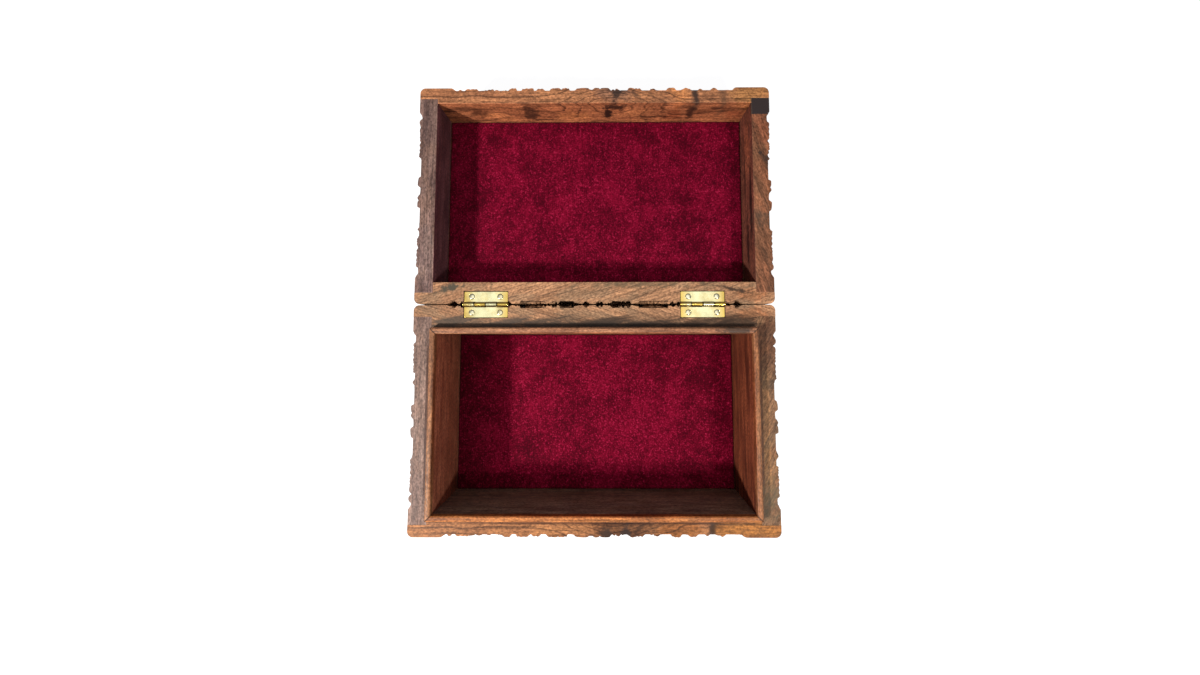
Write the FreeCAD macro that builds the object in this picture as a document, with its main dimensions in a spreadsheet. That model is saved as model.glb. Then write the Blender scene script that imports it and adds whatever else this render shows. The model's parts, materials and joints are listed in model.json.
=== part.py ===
# Carved wooden box with a hinged lid, drawn as the boards and fittings that it is made of.
# Millimetres. The origin is the centre of the box's underside, +Z is up, -Y is the front.
# The lid is stored laid back half a turn, with its rim level with the rim of the box.

import FreeCAD
import Part
import math
import os
import Sketcher

# Driving dimensions, in millimetres unless a line says otherwise.
SIZES = {
    # overall
    "box_length": 203.2,
    "box_width": 126.4,
    "box_height": 45.2,
    "lid_height": 30.8,
    "rim_gap": 0.2,
    # boards
    "front_thickness": 9.3,
    "back_thickness": 12.3,
    "side_thickness": 10.4,
    "lap_thickness": 6.5,
    "corner_radius": 3.2,
    "top_thickness": 7.0,
    "top_edge_radius": 1.5,
    "bottom_thickness": 6.0,
    "bottom_ledge": 4.0,
    # lining boards with the lip that locates the lid
    "liner_thickness": 3.8,
    "lip_height": 5.0,
    "lip_clearance": 0.4,
    "lip_radius": 1.2,
    # velvet
    "velvet_thickness": 1.2,
    "velvet_margin": 0.3,
    # hinges
    "hinge_inset": 28.3,
    "hinge_length": 24.6,
    "leaf_width": 7.25,
    "leaf_thickness": 0.8,
    "leaf_corner_radius": 0.6,
    "knuckle_radius": 1.25,
    "knuckle_gap": 0.15,
    "knuckle_relief": 0.3,
    "axis_offset": 0.3,
    "mortise_clearance": 0.2,
    "pin_radius": 0.6,
    "pin_clearance": 0.05,
    "pin_head_radius": 1.0,
    "pin_head_length": 0.6,
    "pin_head_gap": 0.1,
    # hinge nails
    "nail_inset": 4.3,
    "nail_reach": 4.5,
    "nail_length": 9.0,
    "nail_radius": 0.6,
    "nail_head_radius": 1.6,
    "nail_head_depth": 0.6,
    "nail_dome": 0.25,
    "nail_point": 1.2,
    "nail_clearance": 0.05,
    # wire nails under the bottom panel
    "wire_inset": 26.6,
    "wire_length": 15.0,
    "wire_radius": 0.7,
    "wire_head_radius": 1.5,
    "wire_head_thickness": 0.6,
    "wire_head_sink": 0.2,
    "wire_point": 1.5,
    # carving: a sunk ground that runs over the saw cut, with the main flowers and vines left standing
    "carving_depth": 0.9,
    "carving_end_margin": 17.0,
    "carving_side_margin": 13.2,
    "carving_foot_margin": 8.5,
    "carving_top_margin": 12.0,
    "vine_width": 2.8,
    "vine_gap": 3.6,
    "side_flower_radius": 14.0,
    # how far a cut runs past the face that it leaves by, and how close counts as the same place
    "overrun": 2.0,
    "tolerance": 0.02,
}

KNUCKLES = 4  # knuckles along one hinge, shared in turn by its two leaves
WIRE_COLUMNS = 4  # wire nails along each long wall
LONG_EYES = 2  # eyes that the vines make to each side of the middle flower, on the long and the short faces
SHORT_EYES = 1
PETALS = 8

# Proportions of the carving. A petal's notch follows its flower, a vine's swing and a flower the eye that they
# fill, and what stands on the lid's top half the width of its field.
NOTCH_SHARE = 0.86
SWING_SHARE = 0.41
EYE_FLOWER_SHARE = 0.23
TOP_FLOWER_SHARE = 0.43
WREATH_SHARE = 0.63
END_FLOWER_SHARE = 0.17
CORNER_RING_SHARE = 0.28
CORNER_FLOWER_SHARE = 0.165
CORNER_PLACE_SHARES = (0.73, 0.53)  # of half the field's length and width

# Places that several pieces share, as expressions in the sheet's names.
HALF_LENGTH = "sizes.box_length / 2"
HALF_WIDTH = "sizes.box_width / 2"
INNER_X = f"({HALF_LENGTH} - sizes.side_thickness)"
INNER_FRONT = f"(-{HALF_WIDTH} + sizes.front_thickness)"
INNER_BACK = f"({HALF_WIDTH} - sizes.back_thickness)"
LAP_FRONT = f"(-{HALF_WIDTH} + sizes.lap_thickness)"
LAP_BACK = f"({HALF_WIDTH} - sizes.lap_thickness)"
LINED_X = f"({INNER_X} - sizes.liner_thickness)"
LINED_FRONT = f"({INNER_FRONT} + sizes.liner_thickness)"
LINED_BACK = f"({INNER_BACK} - sizes.liner_thickness)"
RIM = "sizes.box_height"
LID_RIM = "(sizes.box_height + sizes.rim_gap)"
LID_WALL = "(sizes.lid_height - sizes.top_thickness)"
AXIS_Y = f"({HALF_WIDTH} + sizes.axis_offset)"
AXIS_Z = "(sizes.box_height + sizes.rim_gap / 2)"
HALF_HINGE = "sizes.hinge_length / 2"
HINGE_X = f"({HALF_LENGTH} - sizes.hinge_inset - {HALF_HINGE})"
NAIL_X = f"({HALF_HINGE} - sizes.nail_inset)"
LEAF_TOP = "(sizes.leaf_thickness - sizes.knuckle_radius)"
NAIL_Y = f"({AXIS_Y} - sizes.nail_reach)"
MORTISE_DEPTH = "(sizes.knuckle_radius - sizes.rim_gap / 2)"
WIRE_X = f"({HALF_LENGTH} - sizes.wire_inset)"
WIRE_STEP = f"(2 * {WIRE_X} / {WIRE_COLUMNS - 1})"
WIRE_FRONT = f"({INNER_FRONT} - sizes.bottom_ledge / 2)"
WIRE_BACK = f"({INNER_BACK} + sizes.bottom_ledge / 2)"
SHUT_HEIGHT = "(sizes.box_height + sizes.rim_gap + sizes.lid_height)"
MIDDLE_Z = f"({SHUT_HEIGHT} / 2)"

doc = FreeCAD.newDocument("carved_box")


def make_sheet():
    sheet = doc.addObject("Spreadsheet::Sheet", "sizes")
    for row, (name, number) in enumerate(SIZES.items(), start=1):
        sheet.set(f"A{row}", name)
        sheet.set(f"B{row}", str(number))
        sheet.setAlias(f"B{row}", name)
    doc.recompute()
    return sheet


sizes = make_sheet()
sub_parts = []


def value(expression):
    return float(sizes.evalExpression(expression))


# Sketches and features


def new_body(label):
    body = doc.addObject("PartDesign::Body", label)
    body.Label = label
    sub_parts.append(body)
    return body


def new_sketch(body, role, name, offset=None):
    sketch = body.newObject("Sketcher::SketchObject", f"{body.Label}_{name}")
    plane = next(f for f in body.Origin.OriginFeatures if f.Role == role)
    sketch.AttachmentSupport = [(plane, "")]
    sketch.MapMode = "FlatFace"
    if offset is not None:
        sketch.setExpression("AttachmentOffset.Base.z", offset)
    return sketch


def hold_point(sketch, geometry, end, x, y):
    for kind, place in (("DistanceX", x), ("DistanceY", y)):
        index = sketch.addConstraint(Sketcher.Constraint(kind, -1, 1, geometry, end, value(place)))
        sketch.setExpression(f"Constraints[{index}]", place)


def draw_outline(sketch, corners):
    first = sketch.GeometryCount
    count = len(corners)
    spots = [FreeCAD.Vector(value(x), value(y), 0) for x, y in corners]
    for i in range(count):
        sketch.addGeometry(Part.LineSegment(spots[i], spots[(i + 1) % count]), False)
    for i in range(count):
        follower = first + (i + 1) % count
        sketch.addConstraint(Sketcher.Constraint("Coincident", first + i, 2, follower, 1))
    for i, (x, y) in enumerate(corners):
        hold_point(sketch, first + i, 1, x, y)


def draw_rectangle(sketch, low_x, low_y, high_x, high_y):
    draw_outline(sketch, [(low_x, low_y), (high_x, low_y), (high_x, high_y), (low_x, high_y)])


def draw_circle(sketch, x, y, radius):
    centre = FreeCAD.Vector(value(x), value(y), 0)
    circle = sketch.addGeometry(Part.Circle(centre, FreeCAD.Vector(0, 0, 1), value(radius)), False)
    hold_point(sketch, circle, 3, x, y)
    index = sketch.addConstraint(Sketcher.Constraint("Radius", circle, value(radius)))
    sketch.setExpression(f"Constraints[{index}]", radius)


def draw_arcs(sketch, corners, radius):
    # a closed ring of arcs that bulge outwards; its corners run anticlockwise
    first = sketch.GeometryCount
    count = len(corners)
    reach = value(radius)
    spots = [FreeCAD.Vector(value(x), value(y), 0) for x, y in corners]
    for i in range(count):
        start, end = spots[i], spots[(i + 1) % count]
        half = (end - start) / 2
        inward = FreeCAD.Vector(-half.y, half.x, 0) / half.Length
        centre = start + half + inward * math.sqrt(reach**2 - half.Length**2)
        begin = math.atan2(start.y - centre.y, start.x - centre.x)
        sweep = 2 * math.asin(half.Length / reach)
        circle = Part.Circle(centre, FreeCAD.Vector(0, 0, 1), reach)
        sketch.addGeometry(Part.ArcOfCircle(circle, begin, begin + sweep), False)
    for i in range(count):
        follower = first + (i + 1) % count
        sketch.addConstraint(Sketcher.Constraint("Coincident", first + i, 2, follower, 1))
    for i, (x, y) in enumerate(corners):
        hold_point(sketch, first + i, 1, x, y)
        index = sketch.addConstraint(Sketcher.Constraint("Radius", first + i, reach))
        sketch.setExpression(f"Constraints[{index}]", radius)


def pad(body, sketch, length, symmetric=False):
    feature = body.newObject("PartDesign::Pad", f"{sketch.Name}_pad")
    feature.Profile = sketch
    feature.setExpression("Length", length)
    if symmetric:
        feature.SideType = "Symmetric"
    doc.recompute()
    return feature


def pocket(body, sketch, depth, upward=False):
    before = body.Shape.Volume
    feature = body.newObject("PartDesign::Pocket", f"{sketch.Name}_pocket")
    feature.Profile = sketch
    feature.setExpression("Length", depth)
    feature.Reversed = upward
    doc.recompute()
    if not body.Shape.Volume < before:
        raise RuntimeError(f"{feature.Name} cut nothing")
    return feature


def round_edges(body, feature, radius, chosen):
    names = [f"Edge{i}" for i, edge in enumerate(feature.Shape.Edges, start=1) if chosen(edge)]
    fillet = body.newObject("PartDesign::Fillet", f"{feature.Name}_rounding")
    fillet.Base = (feature, names)
    fillet.setExpression("Radius", radius)
    doc.recompute()
    return fillet


def stands_at(x, y):
    # chooses the upright edge over one place of the plan
    near = value("sizes.tolerance")

    def chosen(edge):
        ends = [vertex.Point for vertex in edge.Vertexes]
        return all(math.hypot(end.x - x, end.y - y) < near for end in ends)

    return chosen


def either(*tests):
    return lambda edge: any(test(edge) for test in tests)


def swing_open(body):
    # drawn shut, then turned half round about the hinge line
    body.Placement = FreeCAD.Placement(FreeCAD.Vector(), FreeCAD.Rotation(FreeCAD.Vector(1, 0, 0), 180))
    body.setExpression("Placement.Base.y", f"2 * {AXIS_Y}")
    body.setExpression("Placement.Base.z", f"2 * {AXIS_Z}")


# Boards


def long_wall(label, face, lap, inner, foot, height):
    # front or back board: a lap at each end covers the side board that sits in its rebate
    body = new_body(label)
    sketch = new_sketch(body, "XY_Plane", "plan", foot)
    draw_outline(
        sketch,
        [
            (f"-{HALF_LENGTH}", face),
            (HALF_LENGTH, face),
            (HALF_LENGTH, lap),
            (INNER_X, lap),
            (INNER_X, inner),
            (f"-{INNER_X}", inner),
            (f"-{INNER_X}", lap),
            (f"-{HALF_LENGTH}", lap),
        ],
    )
    board = pad(body, sketch, height)
    corner_x = value(HALF_LENGTH)
    corner_y = value(face)
    corners = either(stands_at(corner_x, corner_y), stands_at(-corner_x, corner_y))
    round_edges(body, board, "sizes.corner_radius", corners)
    return body


def side_wall(label, side, foot, height):
    body = new_body(label)
    sketch = new_sketch(body, "XY_Plane", "plan", foot)
    near, far = f"{side} * {INNER_X}", f"{side} * {HALF_LENGTH}"
    draw_rectangle(sketch, near, LAP_FRONT, far, LAP_BACK)
    pad(body, sketch, height)
    return body


def cut_bottom_ledge(body):
    # the rebate round the foot of the walls that the bottom panel lies in
    sketch = new_sketch(body, "XY_Plane", "ledge")
    reach_x = f"({INNER_X} + sizes.bottom_ledge)"
    front = f"({INNER_FRONT} - sizes.bottom_ledge)"
    back = f"({INNER_BACK} + sizes.bottom_ledge)"
    draw_rectangle(sketch, f"-{reach_x}", front, reach_x, back)
    pocket(body, sketch, "sizes.bottom_thickness", upward=True)


def wire_places(y):
    return [(f"-{WIRE_X} + {WIRE_STEP} * {i}", y) for i in range(WIRE_COLUMNS)]


def cut_wire_holes(body, rows, radius, name, depth):
    sketch = new_sketch(body, "XY_Plane", name)
    for y in rows:
        for place in wire_places(y):
            draw_circle(sketch, *place, radius)
    pocket(body, sketch, depth, upward=True)


def cut_mortises(body, rim, upward):
    # a shallow seat for each hinge leaf, and a deeper slot for its knuckles along the back edge
    wide = f"({HALF_HINGE} + sizes.mortise_clearance)"
    slot_wide = f"({wide} + sizes.pin_head_gap + sizes.pin_head_length)"
    seat_front = f"({AXIS_Y} - sizes.leaf_width - sizes.mortise_clearance)"
    slot_front = f"({AXIS_Y} - sizes.knuckle_radius - sizes.knuckle_relief)"
    past_back = f"({HALF_WIDTH} + sizes.overrun)"
    seat = new_sketch(body, "XY_Plane", "hinge_seats", rim)
    slot = new_sketch(body, "XY_Plane", "knuckle_slots", rim)
    for side in (-1, 1):
        middle = f"{side} * {HINGE_X}"
        draw_rectangle(seat, f"{middle} - {wide}", seat_front, f"{middle} + {wide}", past_back)
        draw_rectangle(slot, f"{middle} - {slot_wide}", slot_front, f"{middle} + {slot_wide}", past_back)
    pocket(body, seat, MORTISE_DEPTH, upward)
    pocket(body, slot, f"{MORTISE_DEPTH} + sizes.knuckle_relief", upward)


def nail_columns():
    for side in (-1, 1):
        for end in (-1, 1):
            yield f"{side} * {HINGE_X} + {end} * {NAIL_X}"


def cut_nail_holes(body, rim, upward):
    sketch = new_sketch(body, "XY_Plane", "nail_holes", rim)
    for x in nail_columns():
        draw_circle(sketch, x, NAIL_Y, "sizes.nail_radius + sizes.nail_clearance")
    pocket(body, sketch, "sizes.nail_length + sizes.knuckle_radius + sizes.nail_clearance", upward)


def make_box_walls():
    front = long_wall("box_front_wall", f"-{HALF_WIDTH}", LAP_FRONT, INNER_FRONT, "0", RIM)
    back = long_wall("box_back_wall", HALF_WIDTH, LAP_BACK, INNER_BACK, "0", RIM)
    left = side_wall("box_left_wall", -1, "0", RIM)
    right = side_wall("box_right_wall", 1, "0", RIM)
    carve_walls(front, back, left, right)
    for wall in (front, back, left, right):
        cut_bottom_ledge(wall)
    hole = "sizes.wire_radius + sizes.nail_clearance"
    depth = "sizes.wire_head_sink + sizes.wire_length + sizes.nail_clearance"
    cut_wire_holes(front, [WIRE_FRONT], hole, "wire_holes", depth)
    cut_wire_holes(back, [WIRE_BACK], hole, "wire_holes", depth)
    cut_mortises(back, RIM, upward=False)
    cut_nail_holes(back, RIM, upward=False)


def make_lid_walls():
    front = long_wall("lid_front_wall", f"-{HALF_WIDTH}", LAP_FRONT, INNER_FRONT, LID_RIM, LID_WALL)
    back = long_wall("lid_back_wall", HALF_WIDTH, LAP_BACK, INNER_BACK, LID_RIM, LID_WALL)
    left = side_wall("lid_left_wall", -1, LID_RIM, LID_WALL)
    right = side_wall("lid_right_wall", 1, LID_RIM, LID_WALL)
    carve_walls(front, back, left, right)
    cut_mortises(back, LID_RIM, upward=True)
    cut_nail_holes(back, LID_RIM, upward=True)
    for wall in (front, back, left, right):
        swing_open(wall)


def make_bottom_panel():
    body = new_body("box_bottom_panel")
    sketch = new_sketch(body, "XY_Plane", "plan")
    reach_x = f"({INNER_X} + sizes.bottom_ledge)"
    front = f"({INNER_FRONT} - sizes.bottom_ledge)"
    back = f"({INNER_BACK} + sizes.bottom_ledge)"
    draw_rectangle(sketch, f"-{reach_x}", front, reach_x, back)
    pad(body, sketch, "sizes.bottom_thickness")
    rows = [WIRE_FRONT, WIRE_BACK]
    through = "sizes.bottom_thickness + sizes.overrun"
    sunk = "sizes.wire_head_sink + sizes.wire_head_thickness"
    cut_wire_holes(body, rows, "sizes.wire_radius + sizes.nail_clearance", "wire_holes", through)
    cut_wire_holes(body, rows, "sizes.wire_head_radius + sizes.nail_clearance", "wire_heads", sunk)


def make_top_panel():
    body = new_body("lid_top_panel")
    under = f"({LID_RIM} + {LID_WALL})"
    sketch = new_sketch(body, "XY_Plane", "plan", under)
    draw_rectangle(sketch, f"-{HALF_LENGTH}", f"-{HALF_WIDTH}", HALF_LENGTH, HALF_WIDTH)
    board = pad(body, sketch, "sizes.top_thickness")
    x, y = value(HALF_LENGTH), value(HALF_WIDTH)
    corners = either(*[stands_at(i * x, j * y) for i in (-1, 1) for j in (-1, 1)])
    rounded = round_edges(body, board, "sizes.corner_radius", corners)
    upper = value(f"{under} + sizes.top_thickness")
    near = value("sizes.tolerance")
    round_edges(body, rounded, "sizes.top_edge_radius", lambda edge: abs(edge.BoundBox.ZMin - upper) < near)
    carve_top(body)
    swing_open(body)


# Carving


def draw_flower(sketch, x, y, radius):
    # petals between notches, each an arc that reaches the flower's radius
    half_angle = math.pi / PETALS
    corners = []
    for i in range(PETALS):
        angle = 2 * half_angle * i
        across_share, up_share = NOTCH_SHARE * math.cos(angle), NOTCH_SHARE * math.sin(angle)
        corners.append((f"{x} + {radius} * ({across_share:.6f})", f"{y} + {radius} * ({up_share:.6f})"))
    half_chord = NOTCH_SHARE * math.sin(half_angle)
    rise = 1 - NOTCH_SHARE * math.cos(half_angle)
    petal_share = (half_chord**2 + rise**2) / (2 * rise)
    draw_arcs(sketch, corners, f"{radius} * {petal_share:.6f}")


def draw_vines(sketch, low, eye, eyes, y):
    # two vines that cross between the eyes, with a flower in each eye
    half_width = "(sizes.vine_width / 2)"
    swing = f"({eye} * {SWING_SHARE})"
    bend = f"((({eye} / 2)^2 + {swing}^2) / (2 * {swing}))"
    below = f"({bend} - {swing})"
    outer, inner = f"({bend} + {half_width})", f"({bend} - {half_width})"
    fork = f"(sqrt({outer}^2 - ({eye} / 2)^2) - {below})"
    tip = f"sqrt({outer}^2 - {below}^2)"
    corner = f"sqrt({inner}^2 - {below}^2)"
    forks = [f"{low} + {eye} * {i}" for i in range(1, eyes)]
    middles = [f"{low} + {eye} * {i + 0.5}" for i in range(eyes)]
    outline = [(f"{middles[0]} - {tip}", y)]
    outline += [(x, f"{y} - {fork}") for x in forks]
    outline += [(f"{middles[-1]} + {tip}", y)]
    outline += [(x, f"{y} + {fork}") for x in reversed(forks)]
    draw_arcs(sketch, outline, outer)
    for x in middles:
        draw_arcs(sketch, [(f"{x} - {corner}", y), (f"{x} + {corner}", y)], inner)
        draw_circle(sketch, x, y, f"{eye} * {EYE_FLOWER_SHARE}")


def carve_side(body, role, face, reach, eyes, inward):
    # reach: half the field's length; the field runs over the whole shut height, less a margin at foot and top
    sketch = new_sketch(body, role, "carving", face)
    foot = "sizes.carving_foot_margin"
    draw_rectangle(sketch, f"-{reach}", foot, reach, f"{SHUT_HEIGHT} - {foot}")
    draw_flower(sketch, "0", MIDDLE_Z, "sizes.side_flower_radius")
    start = "(sizes.side_flower_radius + sizes.vine_gap)"
    end = f"({reach} - sizes.vine_gap)"
    eye = f"(({end} - {start}) / {eyes})"
    for low in (start, f"-{end}"):
        draw_vines(sketch, low, eye, eyes, MIDDLE_Z)
    pocket(body, sketch, "sizes.carving_depth", upward=inward)


def carve_walls(front, back, left, right):
    long_reach = f"({HALF_LENGTH} - sizes.carving_end_margin)"
    short_reach = f"({HALF_WIDTH} - sizes.carving_side_margin)"
    carve_side(front, "XZ_Plane", HALF_WIDTH, long_reach, LONG_EYES, inward=False)
    carve_side(back, "XZ_Plane", f"-{HALF_WIDTH}", long_reach, LONG_EYES, inward=True)
    carve_side(left, "YZ_Plane", f"-{HALF_LENGTH}", short_reach, SHORT_EYES, inward=True)
    carve_side(right, "YZ_Plane", HALF_LENGTH, short_reach, SHORT_EYES, inward=False)


def draw_ring(sketch, x, y, radius):
    for edge in (f"({radius} + sizes.vine_width / 2)", f"({radius} - sizes.vine_width / 2)"):
        draw_circle(sketch, x, y, edge)


def carve_top(body):
    # a wreath round a middle flower, a flower towards each end and a ringed one in each corner
    sketch = new_sketch(body, "XY_Plane", "carving", SHUT_HEIGHT)
    reach_x = f"({HALF_LENGTH} - sizes.carving_top_margin)"
    reach_y = f"({HALF_WIDTH} - sizes.carving_top_margin)"
    draw_rectangle(sketch, f"-{reach_x}", f"-{reach_y}", reach_x, reach_y)
    draw_flower(sketch, "0", "0", f"({reach_y} * {TOP_FLOWER_SHARE})")
    wreath = f"({reach_y} * {WREATH_SHARE})"
    draw_ring(sketch, "0", "0", wreath)
    corner_x, corner_y = (f"{reach} * {share}" for reach, share in zip((reach_x, reach_y), CORNER_PLACE_SHARES))
    for side in (-1, 1):
        draw_circle(sketch, f"{side} * ({wreath} + {reach_x}) / 2", "0", f"{reach_y} * {END_FLOWER_SHARE}")
        for end in (-1, 1):
            x, y = f"{side} * {corner_x}", f"{end} * {corner_y}"
            draw_ring(sketch, x, y, f"{reach_y} * {CORNER_RING_SHARE}")
            draw_circle(sketch, x, y, f"{reach_y} * {CORNER_FLOWER_SHARE}")
    pocket(body, sketch, "sizes.carving_depth")


# Lining


def make_liner(label, corners, strip):
    # corners: the mitred plan, wall face first; strip: the part of the lip that is set in from the wall
    body = new_body(label)
    sketch = new_sketch(body, "XY_Plane", "plan", "sizes.bottom_thickness")
    draw_outline(sketch, corners)
    board = pad(body, sketch, f"{RIM} + sizes.lip_height - sizes.bottom_thickness")
    lip = new_sketch(body, "XY_Plane", "lip", f"{RIM} + sizes.lip_height")
    draw_rectangle(lip, *strip)
    cut = pocket(body, lip, "sizes.lip_height")
    top = value(f"{RIM} + sizes.lip_height")
    near = value("sizes.tolerance")
    longest = max(edge.Length for edge in cut.Shape.Edges)

    def along_the_top(edge):
        level = abs(edge.BoundBox.ZMin - top) < near and abs(edge.BoundBox.ZMax - top) < near
        return level and edge.Length > longest / 2

    round_edges(body, cut, "sizes.lip_radius", along_the_top)


def make_liners():
    past = "sizes.overrun"
    for label, wall, lined, inward in (
        ("box_front_liner", INNER_FRONT, LINED_FRONT, 1),
        ("box_back_liner", INNER_BACK, LINED_BACK, -1),
    ):
        corners = [(f"-{INNER_X}", wall), (INNER_X, wall), (LINED_X, lined), (f"-{LINED_X}", lined)]
        outside = f"{wall} - {inward} * {past}"
        set_in = f"{wall} + {inward} * sizes.lip_clearance"
        make_liner(label, corners, (f"-{INNER_X} - {past}", outside, f"{INNER_X} + {past}", set_in))
    for label, side in (("box_left_liner", -1), ("box_right_liner", 1)):
        wall, lined = f"{side} * {INNER_X}", f"{side} * {LINED_X}"
        corners = [(wall, INNER_FRONT), (wall, INNER_BACK), (lined, LINED_BACK), (lined, LINED_FRONT)]
        outside = f"{side} * ({INNER_X} + {past})"
        set_in = f"{side} * ({INNER_X} - sizes.lip_clearance)"
        make_liner(label, corners, (outside, f"{INNER_FRONT} - {past}", set_in, f"{INNER_BACK} + {past}"))


def make_velvet(label, half_x, front, back, under):
    body = new_body(label)
    sketch = new_sketch(body, "XY_Plane", "cut", under)
    margin = "sizes.velvet_margin"
    reach = f"({half_x} - {margin})"
    draw_rectangle(sketch, f"-{reach}", f"{front} + {margin}", reach, f"{back} - {margin}")
    pad(body, sketch, "sizes.velvet_thickness")
    return body


def make_linings():
    make_velvet("box_velvet", LINED_X, LINED_FRONT, LINED_BACK, "sizes.bottom_thickness")
    hung = f"{LID_RIM} + {LID_WALL} - sizes.velvet_thickness"
    swing_open(make_velvet("lid_velvet", INNER_X, INNER_FRONT, INNER_BACK, hung))


# Hinges and nails


def draw_leaf_section(sketch):
    # a plate that runs tangent into the barrel rolled from its edge, with the pin's bore
    barrel = value("sizes.knuckle_radius")
    top = value(LEAF_TOP)
    edge = value("-sizes.leaf_width")
    meet = -math.sqrt(barrel**2 - top**2)
    end_angle = math.atan2(top, meet) + 2 * math.pi
    spot = FreeCAD.Vector
    circle = Part.Circle(spot(0, 0, 0), spot(0, 0, 1), barrel)
    under = sketch.addGeometry(Part.LineSegment(spot(edge, -barrel, 0), spot(0, -barrel, 0)), False)
    roll = sketch.addGeometry(Part.ArcOfCircle(circle, -math.pi / 2, end_angle), False)
    over = sketch.addGeometry(Part.LineSegment(spot(meet, top, 0), spot(edge, top, 0)), False)
    side = sketch.addGeometry(Part.LineSegment(spot(edge, top, 0), spot(edge, -barrel, 0)), False)
    for first, second in ((under, roll), (roll, over), (over, side), (side, under)):
        sketch.addConstraint(Sketcher.Constraint("Coincident", first, 2, second, 1))
    sketch.addConstraint(Sketcher.Constraint("Coincident", roll, 3, -1, 1))
    sketch.addConstraint(Sketcher.Constraint("PointOnObject", under, 2, -2))
    hold_point(sketch, side, 1, "-sizes.leaf_width", LEAF_TOP)
    hold_point(sketch, side, 2, "-sizes.leaf_width", "-sizes.knuckle_radius")
    sketch.addConstraint(Sketcher.Constraint("Horizontal", over))
    index = sketch.addConstraint(Sketcher.Constraint("Radius", roll, barrel))
    sketch.setExpression(f"Constraints[{index}]", "sizes.knuckle_radius")
    draw_circle(sketch, "0", "0", "sizes.pin_radius + sizes.pin_clearance")


def knuckle_gaps():
    # the other leaf's knuckles, seen along the hinge from its left end
    step = f"sizes.hinge_length / {KNUCKLES}"
    for i in range(1, KNUCKLES, 2):
        start = f"(-{HALF_HINGE} + {step} * {i})"
        last = i == KNUCKLES - 1
        end = f"({HALF_HINGE} + sizes.overrun)" if last else f"({start} + {step} + sizes.knuckle_gap / 2)"
        yield f"({start} - sizes.knuckle_gap / 2)", end


def make_leaf(label, side, turned):
    # the leaf lies towards -Y of the hinge line; the lid's leaf is the same one turned end for end
    body = new_body(label)
    section = new_sketch(body, "YZ_Plane", "section")
    draw_leaf_section(section)
    plate = pad(body, section, "sizes.hinge_length", symmetric=True)
    edge_x, edge_y = value(HALF_HINGE), value("-sizes.leaf_width")
    corners = either(stands_at(edge_x, edge_y), stands_at(-edge_x, edge_y))
    round_edges(body, plate, "sizes.leaf_corner_radius", corners)
    gaps = new_sketch(body, "XY_Plane", "knuckle_gaps", "sizes.knuckle_radius + sizes.overrun")
    inner = "-(sizes.knuckle_radius + sizes.knuckle_relief)"
    for start, end in knuckle_gaps():
        draw_rectangle(gaps, start, inner, end, "sizes.knuckle_radius + sizes.overrun")
    pocket(body, gaps, "2 * (sizes.knuckle_radius + sizes.overrun)")
    holes = new_sketch(body, "XY_Plane", "nail_holes", LEAF_TOP)
    sinks = new_sketch(body, "XY_Plane", "countersinks", LEAF_TOP)
    for end in (-1, 1):
        x, y = f"{end} * {NAIL_X}", "-sizes.nail_reach"
        draw_circle(holes, x, y, "sizes.nail_radius + sizes.nail_clearance")
        draw_circle(sinks, x, y, "sizes.nail_head_radius + sizes.nail_clearance")
    pocket(body, holes, "sizes.leaf_thickness + sizes.overrun")
    countersink = pocket(body, sinks, "sizes.nail_head_depth")
    slope = "atan((sizes.nail_head_radius - sizes.nail_radius) / sizes.nail_head_depth)"
    countersink.setExpression("TaperAngle", f"-{slope}")
    turn = FreeCAD.Rotation(FreeCAD.Vector(0, 0, 1), 180 if turned else 0)
    body.Placement = FreeCAD.Placement(FreeCAD.Vector(), turn)
    body.setExpression("Placement.Base.x", f"{side} * {HINGE_X}")
    body.setExpression("Placement.Base.y", AXIS_Y)
    body.setExpression("Placement.Base.z", AXIS_Z)


def turn_profile(body, corners, name):
    # corners: (radius, height) pairs, turned about the body's Z axis
    sketch = new_sketch(body, "XZ_Plane", name)
    draw_outline(sketch, corners)
    turned = body.newObject("PartDesign::Revolution", f"{sketch.Name}_turning")
    turned.Profile = sketch
    turned.ReferenceAxis = (sketch, ["V_Axis"])
    turned.Angle = 360
    doc.recompute()
    return turned


def make_hinge_pin(label, side):
    body = new_body(label)
    shank = f"({HALF_HINGE} + sizes.pin_head_gap)"
    tip = f"({shank} + sizes.pin_head_length)"
    corners = [
        ("0", f"-{tip}"),
        ("sizes.pin_radius", f"-{tip}"),
        ("sizes.pin_head_radius", f"-{tip} + sizes.pin_head_radius - sizes.pin_radius"),
        ("sizes.pin_head_radius", f"-{shank}"),
        ("sizes.pin_radius", f"-{shank}"),
        ("sizes.pin_radius", shank),
        ("sizes.pin_head_radius", shank),
        ("sizes.pin_head_radius", f"{tip} - sizes.pin_head_radius + sizes.pin_radius"),
        ("sizes.pin_radius", tip),
        ("0", tip),
    ]
    turn_profile(body, corners, "profile")
    body.Placement = FreeCAD.Placement(FreeCAD.Vector(), FreeCAD.Rotation(FreeCAD.Vector(0, 1, 0), 90))
    body.setExpression("Placement.Base.x", f"{side} * {HINGE_X}")
    body.setExpression("Placement.Base.y", AXIS_Y)
    body.setExpression("Placement.Base.z", AXIS_Z)


def repeat(body, feature, steps):
    # steps: (axis role, spacing, how many) for each direction of a grid of separate copies
    body.AllowCompound = True
    grid = body.newObject("PartDesign::MultiTransform", f"{body.Label}_grid")
    grid.Originals = [feature]
    rows = []
    for role, spacing, count in steps:
        row = body.newObject("PartDesign::LinearPattern", f"{body.Label}_{role}_row")
        axis = next(f for f in body.Origin.OriginFeatures if f.Role == role)
        row.Direction = (axis, [""])
        row.Occurrences = count
        row.setExpression("Length", f"{spacing} * {count - 1}")
        rows.append(row)
    grid.Transformations = rows
    body.Tip = grid
    doc.recompute()


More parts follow.
